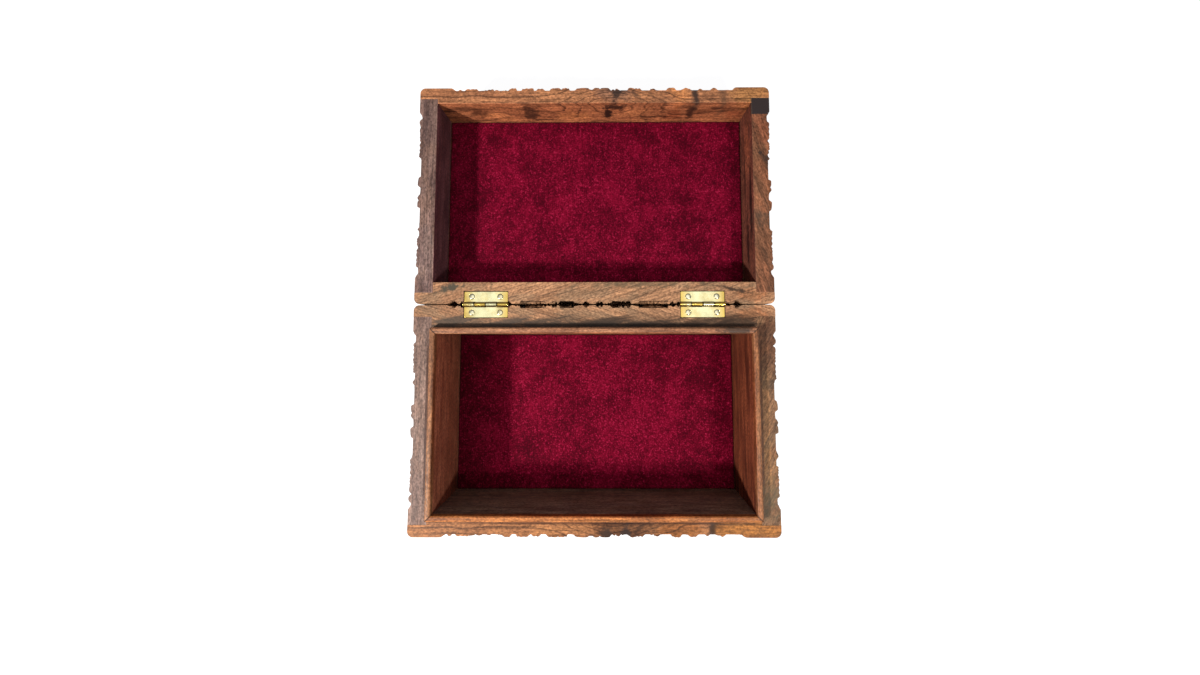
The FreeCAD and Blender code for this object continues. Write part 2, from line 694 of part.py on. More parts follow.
def make_hinge_nails(label):
    # countersunk heads flush with the leaf, with a low crown
    body = new_body(label)
    cone = "sizes.nail_head_depth"
    corners = [
        ("0", "-sizes.nail_length"),
        ("sizes.nail_radius", "-sizes.nail_length + sizes.nail_point"),
        ("sizes.nail_radius", f"-{cone}"),
        ("sizes.nail_head_radius", "0"),
        ("sizes.nail_head_radius / 2", "sizes.nail_dome"),
        ("0", "sizes.nail_dome"),
    ]
    nail = turn_profile(body, corners, "profile")
    repeat(body, nail, [("X_Axis", f"2 * {NAIL_X}", 2), ("X_Axis", f"2 * {HINGE_X}", 2)])
    return body


def make_nails():
    first = f"-({HINGE_X} + {NAIL_X})"
    box_nails = make_hinge_nails("box_hinge_nails")
    box_nails.setExpression("Placement.Base.x", first)
    box_nails.setExpression("Placement.Base.y", NAIL_Y)
    box_nails.setExpression("Placement.Base.z", f"{AXIS_Z} + {LEAF_TOP}")
    lid_nails = make_hinge_nails("lid_hinge_nails")
    lid_nails.setExpression("Placement.Base.x", first)
    lid_nails.setExpression("Placement.Base.y", f"{AXIS_Y} + sizes.nail_reach")
    lid_nails.setExpression("Placement.Base.z", f"{AXIS_Z} + {LEAF_TOP}")


def make_wire_nails():
    body = new_body("bottom_panel_pins")
    head = "sizes.wire_head_thickness"
    corners = [
        ("0", "0"),
        ("sizes.wire_head_radius", "0"),
        ("sizes.wire_head_radius", head),
        ("sizes.wire_radius", head),
        ("sizes.wire_radius", "sizes.wire_length - sizes.wire_point"),
        ("0", "sizes.wire_length"),
    ]
    wire = turn_profile(body, corners, "profile")
    between = f"({WIRE_BACK} - {WIRE_FRONT})"
    repeat(body, wire, [("X_Axis", WIRE_STEP, WIRE_COLUMNS), ("Y_Axis", between, 2)])
    body.setExpression("Placement.Base.x", f"-{WIRE_X}")
    body.setExpression("Placement.Base.y", WIRE_FRONT)
    body.setExpression("Placement.Base.z", "sizes.wire_head_sink")


def make_hinges():
    for name, side in (("left", -1), ("right", 1)):
        make_leaf(f"{name}_hinge_box_leaf", side, turned=False)
        make_leaf(f"{name}_hinge_lid_leaf", side, turned=True)
        make_hinge_pin(f"{name}_hinge_pin", side)


def check_document():
    for item in doc.Objects:
        if "Invalid" in item.State or "Error" in item.State:
            raise RuntimeError(f"{item.Name} failed: {item.State}")
    for item in sub_parts:
        if item.Shape.isNull() or not item.Shape.isValid():
            raise RuntimeError(f"{item.Label} has no valid shape")


def export_parts():
    os.makedirs("parts", exist_ok=True)
    for item in sub_parts:
        item.Shape.exportStep(os.path.join("parts", f"{item.Label}.step"))
        print(item.Label, "solids", len(item.Shape.Solids), "volume", round(item.Shape.Volume, 2))


make_box_walls()
make_bottom_panel()
make_liners()
make_lid_walls()
make_top_panel()
make_linings()
make_hinges()
make_nails()
make_wire_nails()
doc.recompute()
check_document()
export_parts()
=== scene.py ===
# Carved rosewood box, laid open: the looks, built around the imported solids
import itertools
import json
import math

import bmesh
import bpy
import numpy as np
from mathutils import Matrix, Vector


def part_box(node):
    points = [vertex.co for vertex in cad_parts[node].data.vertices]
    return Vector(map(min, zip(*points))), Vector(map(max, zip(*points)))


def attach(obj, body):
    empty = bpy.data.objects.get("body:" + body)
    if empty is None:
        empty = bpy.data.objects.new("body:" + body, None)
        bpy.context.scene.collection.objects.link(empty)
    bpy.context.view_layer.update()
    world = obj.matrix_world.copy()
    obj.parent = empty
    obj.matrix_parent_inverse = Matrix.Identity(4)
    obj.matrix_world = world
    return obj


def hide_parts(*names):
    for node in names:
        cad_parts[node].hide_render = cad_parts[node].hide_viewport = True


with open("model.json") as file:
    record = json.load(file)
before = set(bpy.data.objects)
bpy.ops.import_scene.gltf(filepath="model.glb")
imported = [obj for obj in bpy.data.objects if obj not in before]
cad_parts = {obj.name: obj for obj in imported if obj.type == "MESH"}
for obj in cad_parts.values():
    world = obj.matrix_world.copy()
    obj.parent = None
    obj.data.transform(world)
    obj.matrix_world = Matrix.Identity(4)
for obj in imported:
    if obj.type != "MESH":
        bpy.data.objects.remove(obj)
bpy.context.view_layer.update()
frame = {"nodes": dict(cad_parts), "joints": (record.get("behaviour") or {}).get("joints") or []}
nodes = frame["nodes"]
mm = 0.001
perMm = 1 / mm

# The hinge line. Half a turn about it takes the lid from laid back to shut.
hinge = Vector(frame["joints"][0]["pos_m"])
shutTurn = (
    Matrix.Translation(hinge)
    @ Matrix.Rotation(math.pi, 4, Vector(frame["joints"][0]["axis"]))
    @ Matrix.Translation(-hinge)
)


# Node helpers, for shader trees and geometry trees alike

def addNode(tree, kind, inputs=None, **settings):
    node = tree.nodes.new(kind)
    for key, value in settings.items():
        setattr(node, key, value)
    for key, value in (inputs or {}).items():
        if isinstance(value, bpy.types.NodeSocket):
            tree.links.new(value, node.inputs[key])
        else:
            node.inputs[key].default_value = value
    return node


def firstOut(tree, kind, inputs=None, **settings):
    return addNode(tree, kind, inputs, **settings).outputs[0]


def useGroup(tree, group, inputs):
    return addNode(tree, "ShaderNodeGroup", inputs, node_tree=group).outputs


def calc(tree, operation, a, b=0.0, c=0.0):
    return firstOut(tree, "ShaderNodeMath", {0: a, 1: b, 2: c}, operation=operation)


def times(tree, a, b):
    return calc(tree, "MULTIPLY", a, b)


def plus(tree, a, b):
    return calc(tree, "ADD", a, b)


def minus(tree, a, b):
    return calc(tree, "SUBTRACT", a, b)


def splitVector(tree, vector):
    return addNode(tree, "ShaderNodeSeparateXYZ", {0: vector}).outputs


def joinVector(tree, x=0.0, y=0.0, z=0.0):
    return firstOut(tree, "ShaderNodeCombineXYZ", {0: x, 1: y, 2: z})


def vectorLength(tree, vector):
    return addNode(tree, "ShaderNodeVectorMath", {0: vector}, operation="LENGTH").outputs["Value"]


def attribute(tree, label):
    return addNode(tree, "ShaderNodeAttribute", attribute_name=label).outputs["Fac"]


def vectorCalc(tree, operation, a, b=(0.0, 0.0, 0.0)):
    return firstOut(tree, "ShaderNodeVectorMath", {0: a, 1: b}, operation=operation)


def ease(tree, value, low, high, toLow=0.0, toHigh=1.0):
    inputs = {0: value, 1: low, 2: high, 3: toLow, 4: toHigh}
    return firstOut(tree, "ShaderNodeMapRange", inputs, interpolation_type="SMOOTHSTEP")


def mixColour(tree, factor, a, b, blend="MIX"):
    inputs = {0: factor, 6: a, 7: b}
    return addNode(tree, "ShaderNodeMix", inputs, data_type="RGBA", blend_type=blend).outputs[2]


def noise(tree, vector, detail=2.0, roughness=0.5, scale=1.0):
    inputs = {"Vector": vector, "Scale": scale, "Detail": detail, "Roughness": roughness}
    return addNode(tree, "ShaderNodeTexNoise", inputs).outputs["Fac"]


def socketKind(value):
    # a word names the kind of a socket, and a default value shows it
    if isinstance(value, str):
        return "NodeSocket" + value
    if isinstance(value, tuple):
        return "NodeSocketColor" if len(value) == 4 else "NodeSocketVector"
    return "NodeSocketInt" if isinstance(value, int) else "NodeSocketFloat"


def newTree(name, kind, inputs, outputs):
    tree = bpy.data.node_groups.new(name, kind)
    for label, value in inputs.items():
        socket = tree.interface.new_socket(label, in_out="INPUT", socket_type=socketKind(value))
        if not isinstance(value, str):
            socket.default_value = value
    for label, word in outputs.items():
        tree.interface.new_socket(label, in_out="OUTPUT", socket_type=socketKind(word))
    return tree, tree.nodes.new("NodeGroupInput").outputs, tree.nodes.new("NodeGroupOutput").inputs


def newMaterial(name, **constants):
    material = bpy.data.materials.new(name)
    material.use_nodes = True
    tree = material.node_tree
    shader = tree.nodes["Principled BSDF"]
    for key, value in constants.items():
        shader.inputs[key.replace("_", " ")].default_value = value
    place = tree.nodes.new("ShaderNodeTexCoord").outputs["Object"]
    return material, tree, shader, place


def linear(red, green, blue):
    # an 8-bit screen colour as the linear colour that a socket takes
    def one(value):
        share = value / 255
        return share / 12.92 if share <= 0.04045 else ((share + 0.055) / 1.055) ** 2.4
    return (one(red), one(green), one(blue), 1.0)


def inMillimetres(tree, place):
    return firstOut(tree, "ShaderNodeMapping", {"Vector": place, "Scale": (perMm, perMm, perMm)})


def addRelief(tree, shader, height, strength, depth):
    # fine relief that only the shading shows; its depth is in millimetres
    bump = {"Height": height, "Strength": strength, "Distance": depth * mm}
    tree.links.new(firstOut(tree, "ShaderNodeBump", bump), shader.inputs["Normal"])


def meshOf(tree, piece):
    return addNode(tree, "GeometryNodeObjectInfo", {"Object": piece}).outputs["Geometry"]


def randomBetween(tree, low, high, seed):
    inputs = {"Min": low, "Max": high, "Seed": seed}
    return addNode(tree, "FunctionNodeRandomValue", inputs, data_type="FLOAT").outputs[1]


def turnAboutZ(tree, angle):
    return firstOut(tree, "FunctionNodeAxisAngleToRotation", {"Axis": (0, 0, 1), "Angle": angle})


def endTree(tree, shape, given, result):
    # how each geometry tree ends: real faces, with their material
    real = firstOut(tree, "GeometryNodeRealizeInstances", {0: shape})
    ready = firstOut(tree, "GeometryNodeSetMaterial", {"Geometry": real, "Material": given["Material"]})
    tree.links.new(ready, result["Geometry"])


# Wood figure: growth rings round a heart that runs along X, with streaks, pores and cast patches.
# Coordinates are in millimetres.

def makeGrainGroup():
    inputs = {
        "Vector": "Vector",
        "Light": (0.25, 0.11, 0.05, 1),
        "Mid": (0.18, 0.08, 0.04, 1),
        "Dark": (0.05, 0.025, 0.015, 1),
        "Cast": (0.12, 0.10, 0.07, 1),
        "Heart": (0, 30, 60),
        "Ring Pitch": 2.2,
        "Wander": 5.0,
        "Slant": 0.0,
        "Lines": 0.6,
        "Streaks": 0.5,
        "Pores": 0.6,
        "Casting": 0.3,
        "Knot": (0, 0, 0),
        "Knot Size": 10.0,
        "Knot Rise": 0.0,
        "Shift": (0, 0, 0),
    }
    outputs = {"Color": "Color", "Roughness": "Float", "Height": "Float"}
    tree, given, result = newTree("rosewoodGrain", "ShaderNodeTree", inputs, outputs)

    along = splitVector(tree, given["Vector"])
    across = calc(tree, "MULTIPLY_ADD", along[0], given["Slant"], along[1])
    slanted = joinVector(tree, along[0], across, along[2])
    shifted = vectorCalc(tree, "ADD", slanted, given["Shift"])

    def fibre(length, width, detail=2.0, roughness=0.5, offset=0.0):
        cells = (1 / length, 1 / width, 1 / width)
        stretched = vectorCalc(tree, "MULTIPLY", shifted, cells)
        moved = vectorCalc(tree, "ADD", stretched, (offset, offset, offset))
        return noise(tree, moved, detail, roughness)

    # distance from the heart, bent by slow noise along the board and pushed out round a knot
    bendY = times(tree, minus(tree, fibre(60, 16), 0.5), given["Wander"])
    bendZ = times(tree, minus(tree, fibre(60, 16, offset=7.3), 0.5), given["Wander"])
    heart = splitVector(tree, given["Heart"])
    fromY = plus(tree, minus(tree, across, heart[1]), bendY)
    fromZ = plus(tree, minus(tree, along[2], heart[2]), bendZ)
    squares = plus(tree, times(tree, fromY, fromY), times(tree, fromZ, fromZ))
    radius = calc(tree, "SQRT", squares)
    toKnot = vectorCalc(tree, "SUBTRACT", given["Vector"], given["Knot"])
    knotReach = calc(tree, "DIVIDE", vectorLength(tree, toKnot), given["Knot Size"])
    knotPush = calc(tree, "EXPONENT", times(tree, times(tree, knotReach, knotReach), -1.0))
    radius = calc(tree, "MULTIPLY_ADD", knotPush, given["Knot Rise"], radius)
    flutter = times(tree, minus(tree, fibre(9, 1.6, 3.0), 0.5), 0.7)
    phase = plus(tree, calc(tree, "DIVIDE", radius, given["Ring Pitch"]), flutter)
    ring = calc(tree, "FRACT", phase)
    ringTone = firstOut(
        tree, "ShaderNodeTexWhiteNoise", {"W": calc(tree, "FLOOR", phase)}, noise_dimensions="1D"
    )
    lateWood = times(tree, ease(tree, ring, 0.5, 0.86), ease(tree, ring, 0.9, 1.0, 1.0, 0.0))
    lines = times(tree, lateWood, ease(tree, ringTone, 0.1, 0.9, 0.15, 1.0))
    lines = times(tree, lines, given["Lines"])

    wide, narrow = fibre(38, 6, 3.0), fibre(13, 2.4, 2.0, 0.5, 4.4)
    broad = calc(tree, "MULTIPLY_ADD", narrow, 0.45, times(tree, wide, 0.55))
    broad = ease(tree, broad, 0.38, 0.62)
    streaks = ease(tree, fibre(48, 1.7, 4.0, 0.62, 3.1), 0.54, 0.67)
    streaks = times(tree, streaks, given["Streaks"])
    castPatch = ease(tree, fibre(17, 8, 4.0, 0.65, 11.7), 0.47, 0.6)
    castPatch = times(tree, castPatch, given["Casting"])
    pores = ease(tree, fibre(3.2, 0.75, 2.0, 0.6, 5.9), 0.57, 0.66)
    pores = times(tree, pores, given["Pores"])
    hair = fibre(20, 0.95, 3.0, 0.7, 1.7)
    freckle = fibre(1.4, 0.9, 2.0, 0.6, 9.2)

    colour = mixColour(tree, broad, given["Light"], given["Mid"])
    colour = mixColour(tree, castPatch, colour, given["Cast"])
    colour = mixColour(tree, lines, colour, given["Dark"])
    colour = mixColour(tree, streaks, colour, given["Dark"])
    colour = mixColour(tree, times(tree, pores, 0.7), colour, given["Dark"])
    brighten = ease(tree, hair, 0.28, 0.72, 0.68, 1.34)
    brighten = times(tree, brighten, ease(tree, freckle, 0.28, 0.72, 0.62, 1.4))
    spread = joinVector(tree, brighten, brighten, brighten)
    tree.links.new(mixColour(tree, 1.0, colour, spread, "MULTIPLY"), result["Color"])

    rough = plus(tree, ease(tree, hair, 0.2, 0.8, 0.42, 0.56), times(tree, pores, 0.2))
    tree.links.new(rough, result["Roughness"])
    height = minus(tree, times(tree, hair, 0.8), pores)
    height = minus(tree, height, times(tree, lines, 0.4))
    tree.links.new(height, result["Height"])
    return tree


# A ragged patch with its own place, half sizes and turn, in millimetres

def makePatchGroup():
    inputs = {
        "Vector": "Vector",
        "Center": (0, 0, 0),
        "Half Size": (10, 10, 10),
        "Angle": 0.0,
        "Ragged": 0.5,
        "Grain": (1, 1, 1),
        "Soft": 0.4,
        "Square": 0.0,
    }
    tree, given, result = newTree("woodPatch", "ShaderNodeTree", inputs, {"Mask": "Float"})
    turned = firstOut(
        tree,
        "ShaderNodeVectorRotate",
        {"Vector": given["Vector"], "Center": given["Center"], "Angle": given["Angle"]},
        rotation_type="Z_AXIS",
    )
    fromCenter = vectorCalc(tree, "SUBTRACT", turned, given["Center"])
    offset = vectorCalc(tree, "DIVIDE", fromCenter, given["Half Size"])
    roundWay = vectorLength(tree, offset)
    parts = splitVector(tree, vectorCalc(tree, "ABSOLUTE", offset))
    squareWay = calc(tree, "MAXIMUM", calc(tree, "MAXIMUM", parts[0], parts[1]), parts[2])
    distance = firstOut(tree, "ShaderNodeMix", {0: given["Square"], 2: roundWay, 3: squareWay})
    drawnOut = vectorCalc(tree, "MULTIPLY", turned, given["Grain"])
    edge = minus(tree, noise(tree, drawnOut, 4.0, 0.62, 0.22), 0.5)
    distance = plus(tree, distance, times(tree, edge, times(tree, given["Ragged"], 3.0)))
    inner = minus(tree, 1.0, given["Soft"])
    tree.links.new(ease(tree, distance, inner, 1.0, 1.0, 0.0), result["Mask"])
    return tree


# What hands and tools leave on the boards: rubbed edges, and dark ground and bright crests in the carving

def makeHandFinishGroup():
    inputs = {
        "Vector": "Vector",
        "Color": (0.2, 0.1, 0.05, 1),
        "Roughness": 0.45,
        "Edge Wear": 0.4,
        "Ground Stain": 0.75,
        "Crest Polish": 0.35,
    }
    outputs = {"Color": "Color", "Roughness": "Float"}
    tree, given, result = newTree("handFinish", "ShaderNodeTree", inputs, outputs)

    carved = attribute(tree, "carved")
    uneven = ease(tree, noise(tree, given["Vector"], 3.0, 0.6, 0.35), 0.3, 0.7, 0.35, 1.0)
    sunk = times(tree, times(tree, attribute(tree, "sunk"), carved), given["Ground Stain"])
    polish = times(tree, times(tree, attribute(tree, "crest"), carved), given["Crest Polish"])
    wear = times(tree, times(tree, attribute(tree, "worn"), uneven), given["Edge Wear"])
    lighten = plus(tree, wear, times(tree, polish, uneven))

    darkened = mixColour(tree, sunk, given["Color"], (0.016, 0.009, 0.006, 1))
    lightened = mixColour(tree, 1.0, darkened, (0.17, 0.105, 0.06, 1), "ADD")
    tree.links.new(mixColour(tree, lighten, darkened, lightened), result["Color"])
    rough = plus(tree, given["Roughness"], times(tree, sunk, 0.3))
    rough = minus(tree, rough, times(tree, lighten, 0.08))
    tree.links.new(rough, result["Roughness"])
    return tree


grainGroup = makeGrainGroup()
patchGroup = makePatchGroup()
handFinishGroup = makeHandFinishGroup()
print("shared shader groups built")


# One wood material. Lid boards are read in the shut place, so the figure runs on across the saw cut.

def woodMaterial(name, wood, patches=(), isLid=False):
    material, tree, shader, place = newMaterial(name, Specular_IOR_Level=wood.get("shine", 0.12))
    shut = inMillimetres(tree, place)
    if isLid:
        shut = firstOut(tree, "ShaderNodeMapping", {
            "Vector": place,
            "Scale": (perMm, -perMm, -perMm),
            "Location": (0, 2 * hinge.y * perMm, 2 * hinge.z * perMm),
        })
    turn = {"Vector": shut, "Rotation": tuple(math.radians(a) for a in wood.get("turn", (0, 0, 0)))}
    board = firstOut(tree, "ShaderNodeMapping", turn)

    grain = useGroup(tree, grainGroup, {
        "Vector": board,
        "Light": linear(*wood["light"]),
        "Mid": linear(*wood["mid"]),
        "Dark": linear(*wood["dark"]),
        "Cast": linear(*wood["cast"]),
        "Heart": wood["heart"],
        "Ring Pitch": wood["ringPitch"],
        "Wander": wood["wander"],
        "Slant": wood.get("slant", 0.0),
        "Lines": wood["lines"],
        "Streaks": wood["streaks"],
        "Pores": wood.get("pores", 0.6),
        "Casting": wood["casting"],
        "Knot": wood.get("knot", (0, 0, 0)),
        "Knot Size": wood.get("knotSize", 10.0),
        "Knot Rise": wood.get("knotRise", 0.0),
        "Shift": wood["shift"],
    })
    colour = grain["Color"]
    for patch in patches:
        mask = useGroup(tree, patchGroup, {
            "Vector": shut,
            "Center": patch["center"],
            "Half Size": patch["half"],
            "Angle": math.radians(patch.get("angle", 0.0)),
            "Ragged": patch["ragged"],
            "Grain": patch.get("grain", (1, 1, 1)),
            "Soft": patch["soft"],
            "Square": patch.get("square", 0.0),
        })["Mask"]
        painted = linear(*patch["colour"]) if "colour" in patch else mixColour(
            tree, 1.0, colour, (*patch["gain"], 1.0), "MULTIPLY"
        )
        colour = mixColour(tree, times(tree, mask, patch.get("strength", 1.0)), colour, painted)

    finish = useGroup(
        tree, handFinishGroup, {"Vector": shut, "Color": colour, "Roughness": grain["Roughness"]}
    )
    tree.links.new(finish["Color"], shader.inputs["Base Color"])
    tree.links.new(finish["Roughness"], shader.inputs["Roughness"])
    addRelief(tree, shader, grain["Height"], 0.35, 0.12)
    return material


# Brass of leaves, pins and nails: pale and polished, a little bowed, with fine scratches and tarnish, and
# with painted reflection and painted shade on the hinges

def makeBrassGroup():
    inputs = {
        "Vector": "Vector",
        "Bright": (0.9, 0.8, 0.4, 1),
        "Tarnish": (0.6, 0.4, 0.1, 1),
        "Clouding": 0.4,
        "Gold": (0.8, 0.5, 0.1, 1),
        "Golden Ends": 0.0,
        "Golden Barrel": 0.0,
        "Crease": 0.0,
        "Hinge Middle": 61.0,
        "Hinge Reach": 12.3,
        "Hinge Line": 63.5,
        "Barrel": 1.25,
        "Polish": 0.17,
        "Wear": 0.34,
    }
    outputs = {"Color": "Color", "Roughness": "Float", "Height": "Float"}
    tree, given, result = newTree("brassTarnish", "ShaderNodeTree", inputs, outputs)
    scratchCells = (0.16, 11.0, 11.0)
    drawnOut = vectorCalc(tree, "MULTIPLY", given["Vector"], scratchCells)
    scratch = ease(tree, noise(tree, drawnOut, 2.0), 0.56, 0.7)
    cloud = ease(tree, noise(tree, given["Vector"], 4.0, 0.6, 0.16), 0.42, 0.7)
    speck = ease(tree, noise(tree, given["Vector"], 2.0, 0.5, 1.6), 0.66, 0.76)
    dull = calc(tree, "MAXIMUM", times(tree, cloud, given["Clouding"]), times(tree, speck, 0.7))
    spot = splitVector(tree, given["Vector"])
    fromMiddle = minus(tree, calc(tree, "ABSOLUTE", spot[0]), given["Hinge Middle"])
    toSeam = calc(tree, "PINGPONG", fromMiddle, times(tree, given["Hinge Reach"], 0.25))
    fromMiddle = calc(tree, "DIVIDE", calc(tree, "ABSOLUTE", fromMiddle), given["Hinge Reach"])
    fromLine = calc(tree, "ABSOLUTE", minus(tree, spot[1], given["Hinge Line"]))
    fromCrease = minus(tree, fromLine, given["Barrel"])
    onBarrel = ease(tree, fromCrease, -0.1, 0.0, 1.0, 0.0)
    # painted shade in the crease where the leaf meets its knuckles, and in the seams between knuckles
    seam = times(tree, ease(tree, toSeam, 0.25, 0.5, 1.0, 0.0), onBarrel)
    creaseShade = ease(tree, calc(tree, "ABSOLUTE", fromCrease), 0.1, 0.45, 1.0, 0.0)
    creaseShade = times(tree, calc(tree, "MAXIMUM", creaseShade, seam), given["Crease"])
    # painted reflection: leaves pale in the middle and golden towards their ends, and the lid's knuckles
    # golden
    ends = times(tree, ease(tree, fromMiddle, 0.35, 1.0), given["Golden Ends"])
    ends = calc(tree, "MAXIMUM", ends, times(tree, onBarrel, given["Golden Barrel"]))
    colour = mixColour(tree, ends, given["Bright"], given["Gold"])
    colour = mixColour(tree, dull, colour, given["Tarnish"])
    colour = mixColour(tree, creaseShade, colour, (0.09, 0.05, 0.018, 1))
    tree.links.new(colour, result["Color"])
    worn = calc(tree, "MAXIMUM", scratch, dull)
    tree.links.new(ease(tree, worn, 0.0, 1.0, given["Polish"], given["Wear"]), result["Roughness"])
    bow = noise(tree, given["Vector"], 1.0, 0.5, 0.1)
    height = minus(tree, bow, times(tree, scratch, 0.006))
    tree.links.new(height, result["Height"])
    return tree


brassGroup = makeBrassGroup()
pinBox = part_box("right_hinge_pin")
leafBrass = {
    "bright": (255, 245, 186),
    "gold": (236, 192, 76),
    "tarnish": (218, 178, 84),
    # painted reflection: golden towards the ends of the leaves
    "reflectedGoldEnds": 0.85,
    "reflectedGoldBarrel": 0.0,
    # painted shade in the crease and the knuckle seams
    "creaseShade": 0.85,
    "clouding": 0.4,
    "bow": 0.7,
}
# the lid's knuckles carry a golden painted reflection
lidLeafBrass = {**leafBrass, "reflectedGoldBarrel": 0.9}
nailBrass = {
    "bright": (246, 238, 196),
    "gold": (246, 238, 196),
    "tarnish": (206, 184, 124),
    "reflectedGoldEnds": 0.0,
    "reflectedGoldBarrel": 0.0,
    "creaseShade": 0.0,
    "clouding": 0.5,
    "bow": 0.1,
    # painted shade round the edge of the head
    "rim": (112, 92, 56),
}


def brassMaterial(name, look):
    material, tree, shader, place = newMaterial(name, Metallic=1.0)
    metal = useGroup(tree, brassGroup, {
        "Vector": inMillimetres(tree, place),
        "Bright": linear(*look["bright"]),
        "Tarnish": linear(*look["tarnish"]),
        "Gold": linear(*look["gold"]),
        "Golden Ends": look["reflectedGoldEnds"],
        "Golden Barrel": look["reflectedGoldBarrel"],
        "Crease": look["creaseShade"],
        "Hinge Middle": (pinBox[0].x + pinBox[1].x) / 2 / mm,
        "Hinge Reach": (pinBox[1].x - pinBox[0].x) / 2 / mm,
        "Hinge Line": hinge.y / mm,
        "Barrel": (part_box("right_hinge_box_leaf")[1].z - hinge.z) / mm,
        "Clouding": look["clouding"],
    })
    colour = metal["Color"]
    if "rim" in look:   # painted shade in the gap round the edge of a nail's head
        edge = attribute(tree, "edge")
        colour = mixColour(tree, edge, colour, linear(*look["rim"]))
    tree.links.new(colour, shader.inputs["Base Color"])
    tree.links.new(metal["Roughness"], shader.inputs["Roughness"])
    addRelief(tree, shader, metal["Height"], 0.8, look["bow"])
    return material


def steelMaterial():
    material, tree, shader, place = newMaterial("wireSteel", Metallic=1.0)
    rust = ease(tree, noise(tree, inMillimetres(tree, place), 4.0, 0.6, 0.7), 0.5, 0.72)
    colour = mixColour(tree, rust, linear(150, 148, 144), linear(96, 70, 52))
    tree.links.new(colour, shader.inputs["Base Color"])
    tree.links.new(ease(tree, rust, 0.0, 1.0, 0.36, 0.7), shader.inputs["Roughness"])
    addRelief(tree, shader, rust, 0.3, 0.1)
    return material


# Velvet: crimson pile with brushed patches, a faint weave, and bright fibre ends that are painted glints

velvetLook = {
    "deep": (58, 2, 14),
    "body": (86, 3, 23),
    "brushed": (112, 7, 34),
    "fibre": (168, 34, 68),
    "patchSize": 15.0,
    "weavePitch": 1.25,
    "fibreSize": 0.95,
    # painted shade towards the left wall, and painted light in the shadow along the near wall
    "paintedShadeFrom": -88.0,
    "paintedShadeTo": -56.0,
    "paintedShadeTone": 0.53,
    "paintedLightFrom": -45.0,
    "paintedLightTo": -32.0,
    "paintedLightTone": 1.65,
}

lidVelvetLook = {
    **velvetLook,
    "deep": (60, 3, 16),
    "body": (89, 4, 25),
    "brushed": (116, 8, 36),
    # the lid's painted shade by its left wall, and painted light in the shadow along its hinge side
    "paintedShadeTo": -62.0,
    "paintedShadeTone": 0.8,
    "paintedLightFrom": 82.0,
    "paintedLightTo": 92.0,
    "paintedLightTone": 1.9,
}


def velvetMaterial(name, look):
    material, tree, shader, place = newMaterial(
        name,
        Roughness=0.6,
        Specular_IOR_Level=0.015,
        Sheen_Weight=0.08,
        Sheen_Roughness=0.5,
        Sheen_Tint=linear(230, 140, 150),
    )
    inMm = inMillimetres(tree, place)
    patch = noise(tree, inMm, 5.0, 0.62, 1 / look["patchSize"])
    brush = noise(tree, vectorCalc(tree, "MULTIPLY", inMm, (0.45, 0.16, 0.3)), 3.0, 0.6)
    fibre = noise(tree, inMm, 3.0, 0.75, 1 / look["fibreSize"])
    turns = 2 * math.pi / look["weavePitch"]
    across = splitVector(tree, inMm)
    weave = calc(tree, "SINE", times(tree, across[0], turns))
    tone = plus(tree, times(tree, patch, 0.75), times(tree, brush, 0.35))
    tone = calc(tree, "MULTIPLY_ADD", weave, 0.014, tone)
    tone = plus(tree, tone, times(tree, minus(tree, fibre, 0.5), 1.15))
    colour = mixColour(tree, ease(tree, tone, 0.36, 0.56), linear(*look["deep"]), linear(*look["body"]))
    colour = mixColour(tree, ease(tree, tone, 0.52, 0.76), colour, linear(*look["brushed"]))
    # bright fibre ends painted as glints on the pile
    ends = times(tree, ease(tree, fibre, 0.56, 0.68), ease(tree, tone, 0.54, 0.74))
    colour = mixColour(tree, times(tree, ends, 0.75), colour, linear(*look["fibre"]))
    # painted shade darkens the pile towards the left wall, and painted light lifts the shadow along the
    # near wall
    paintedLightAndShade = ease(tree, across[0], look["paintedShadeFrom"], look["paintedShadeTo"], look["paintedShadeTone"], 1.0)
    paintedNearLight = ease(tree, across[1], look["paintedLightFrom"], look["paintedLightTo"], look["paintedLightTone"], 1.0)
    paintedLightAndShade = times(tree, paintedLightAndShade, paintedNearLight)
    paintedLightAndShade = joinVector(tree, paintedLightAndShade, paintedLightAndShade, paintedLightAndShade)
    tree.links.new(mixColour(tree, 1.0, colour, paintedLightAndShade, "MULTIPLY"), shader.inputs["Base Color"])
    height = plus(tree, fibre, times(tree, weave, 0.06))
    addRelief(tree, shader, height, 0.5, 0.35)
    return material


# Woods. Colours are 8-bit screen values under plain light; lengths are in millimetres, in the shut place.

frontWood = {
    "light": (156, 104, 64),
    "mid": (130, 84, 52),
    "dark": (54, 35, 26),
    "cast": (106, 70, 47),
    "heart": (0, -92, 44),
    "ringPitch": 2.5,
    "wander": 13.0,
    "lines": 0.66,
    "streaks": 0.35,
    "pores": 0.4,
    "casting": 0.3,
    "shift": (40, 3, 9),
    "knot": (10, -45, 45),
    "knotSize": 22.0,
    "knotRise": 17.0,
}
backWood = {
    "light": (164, 119, 85),
    "mid": (140, 100, 71),
    "dark": (70, 53, 42),
    "cast": (116, 98, 76),
    "heart": (0, 110, 30),
    "ringPitch": 2.6,
    "wander": 9.0,
    "slant": 0.3,
    "lines": 0.35,
    "streaks": 0.4,
    "casting": 0.4,
    "shift": (11, 70, 5),
}
leftWood = {
    "light": (121, 97, 85),
    "mid": (105, 82, 72),
    "dark": (60, 49, 46),
    "cast": (113, 84, 68),
    "heart": (0, 150, 20),
    "ringPitch": 1.9,
    "wander": 4.0,
    "lines": 0.35,
    "streaks": 0.4,
    "casting": 0.35,
    "shift": (5, 31, 44),
    "turn": (0, 0, -90),
}
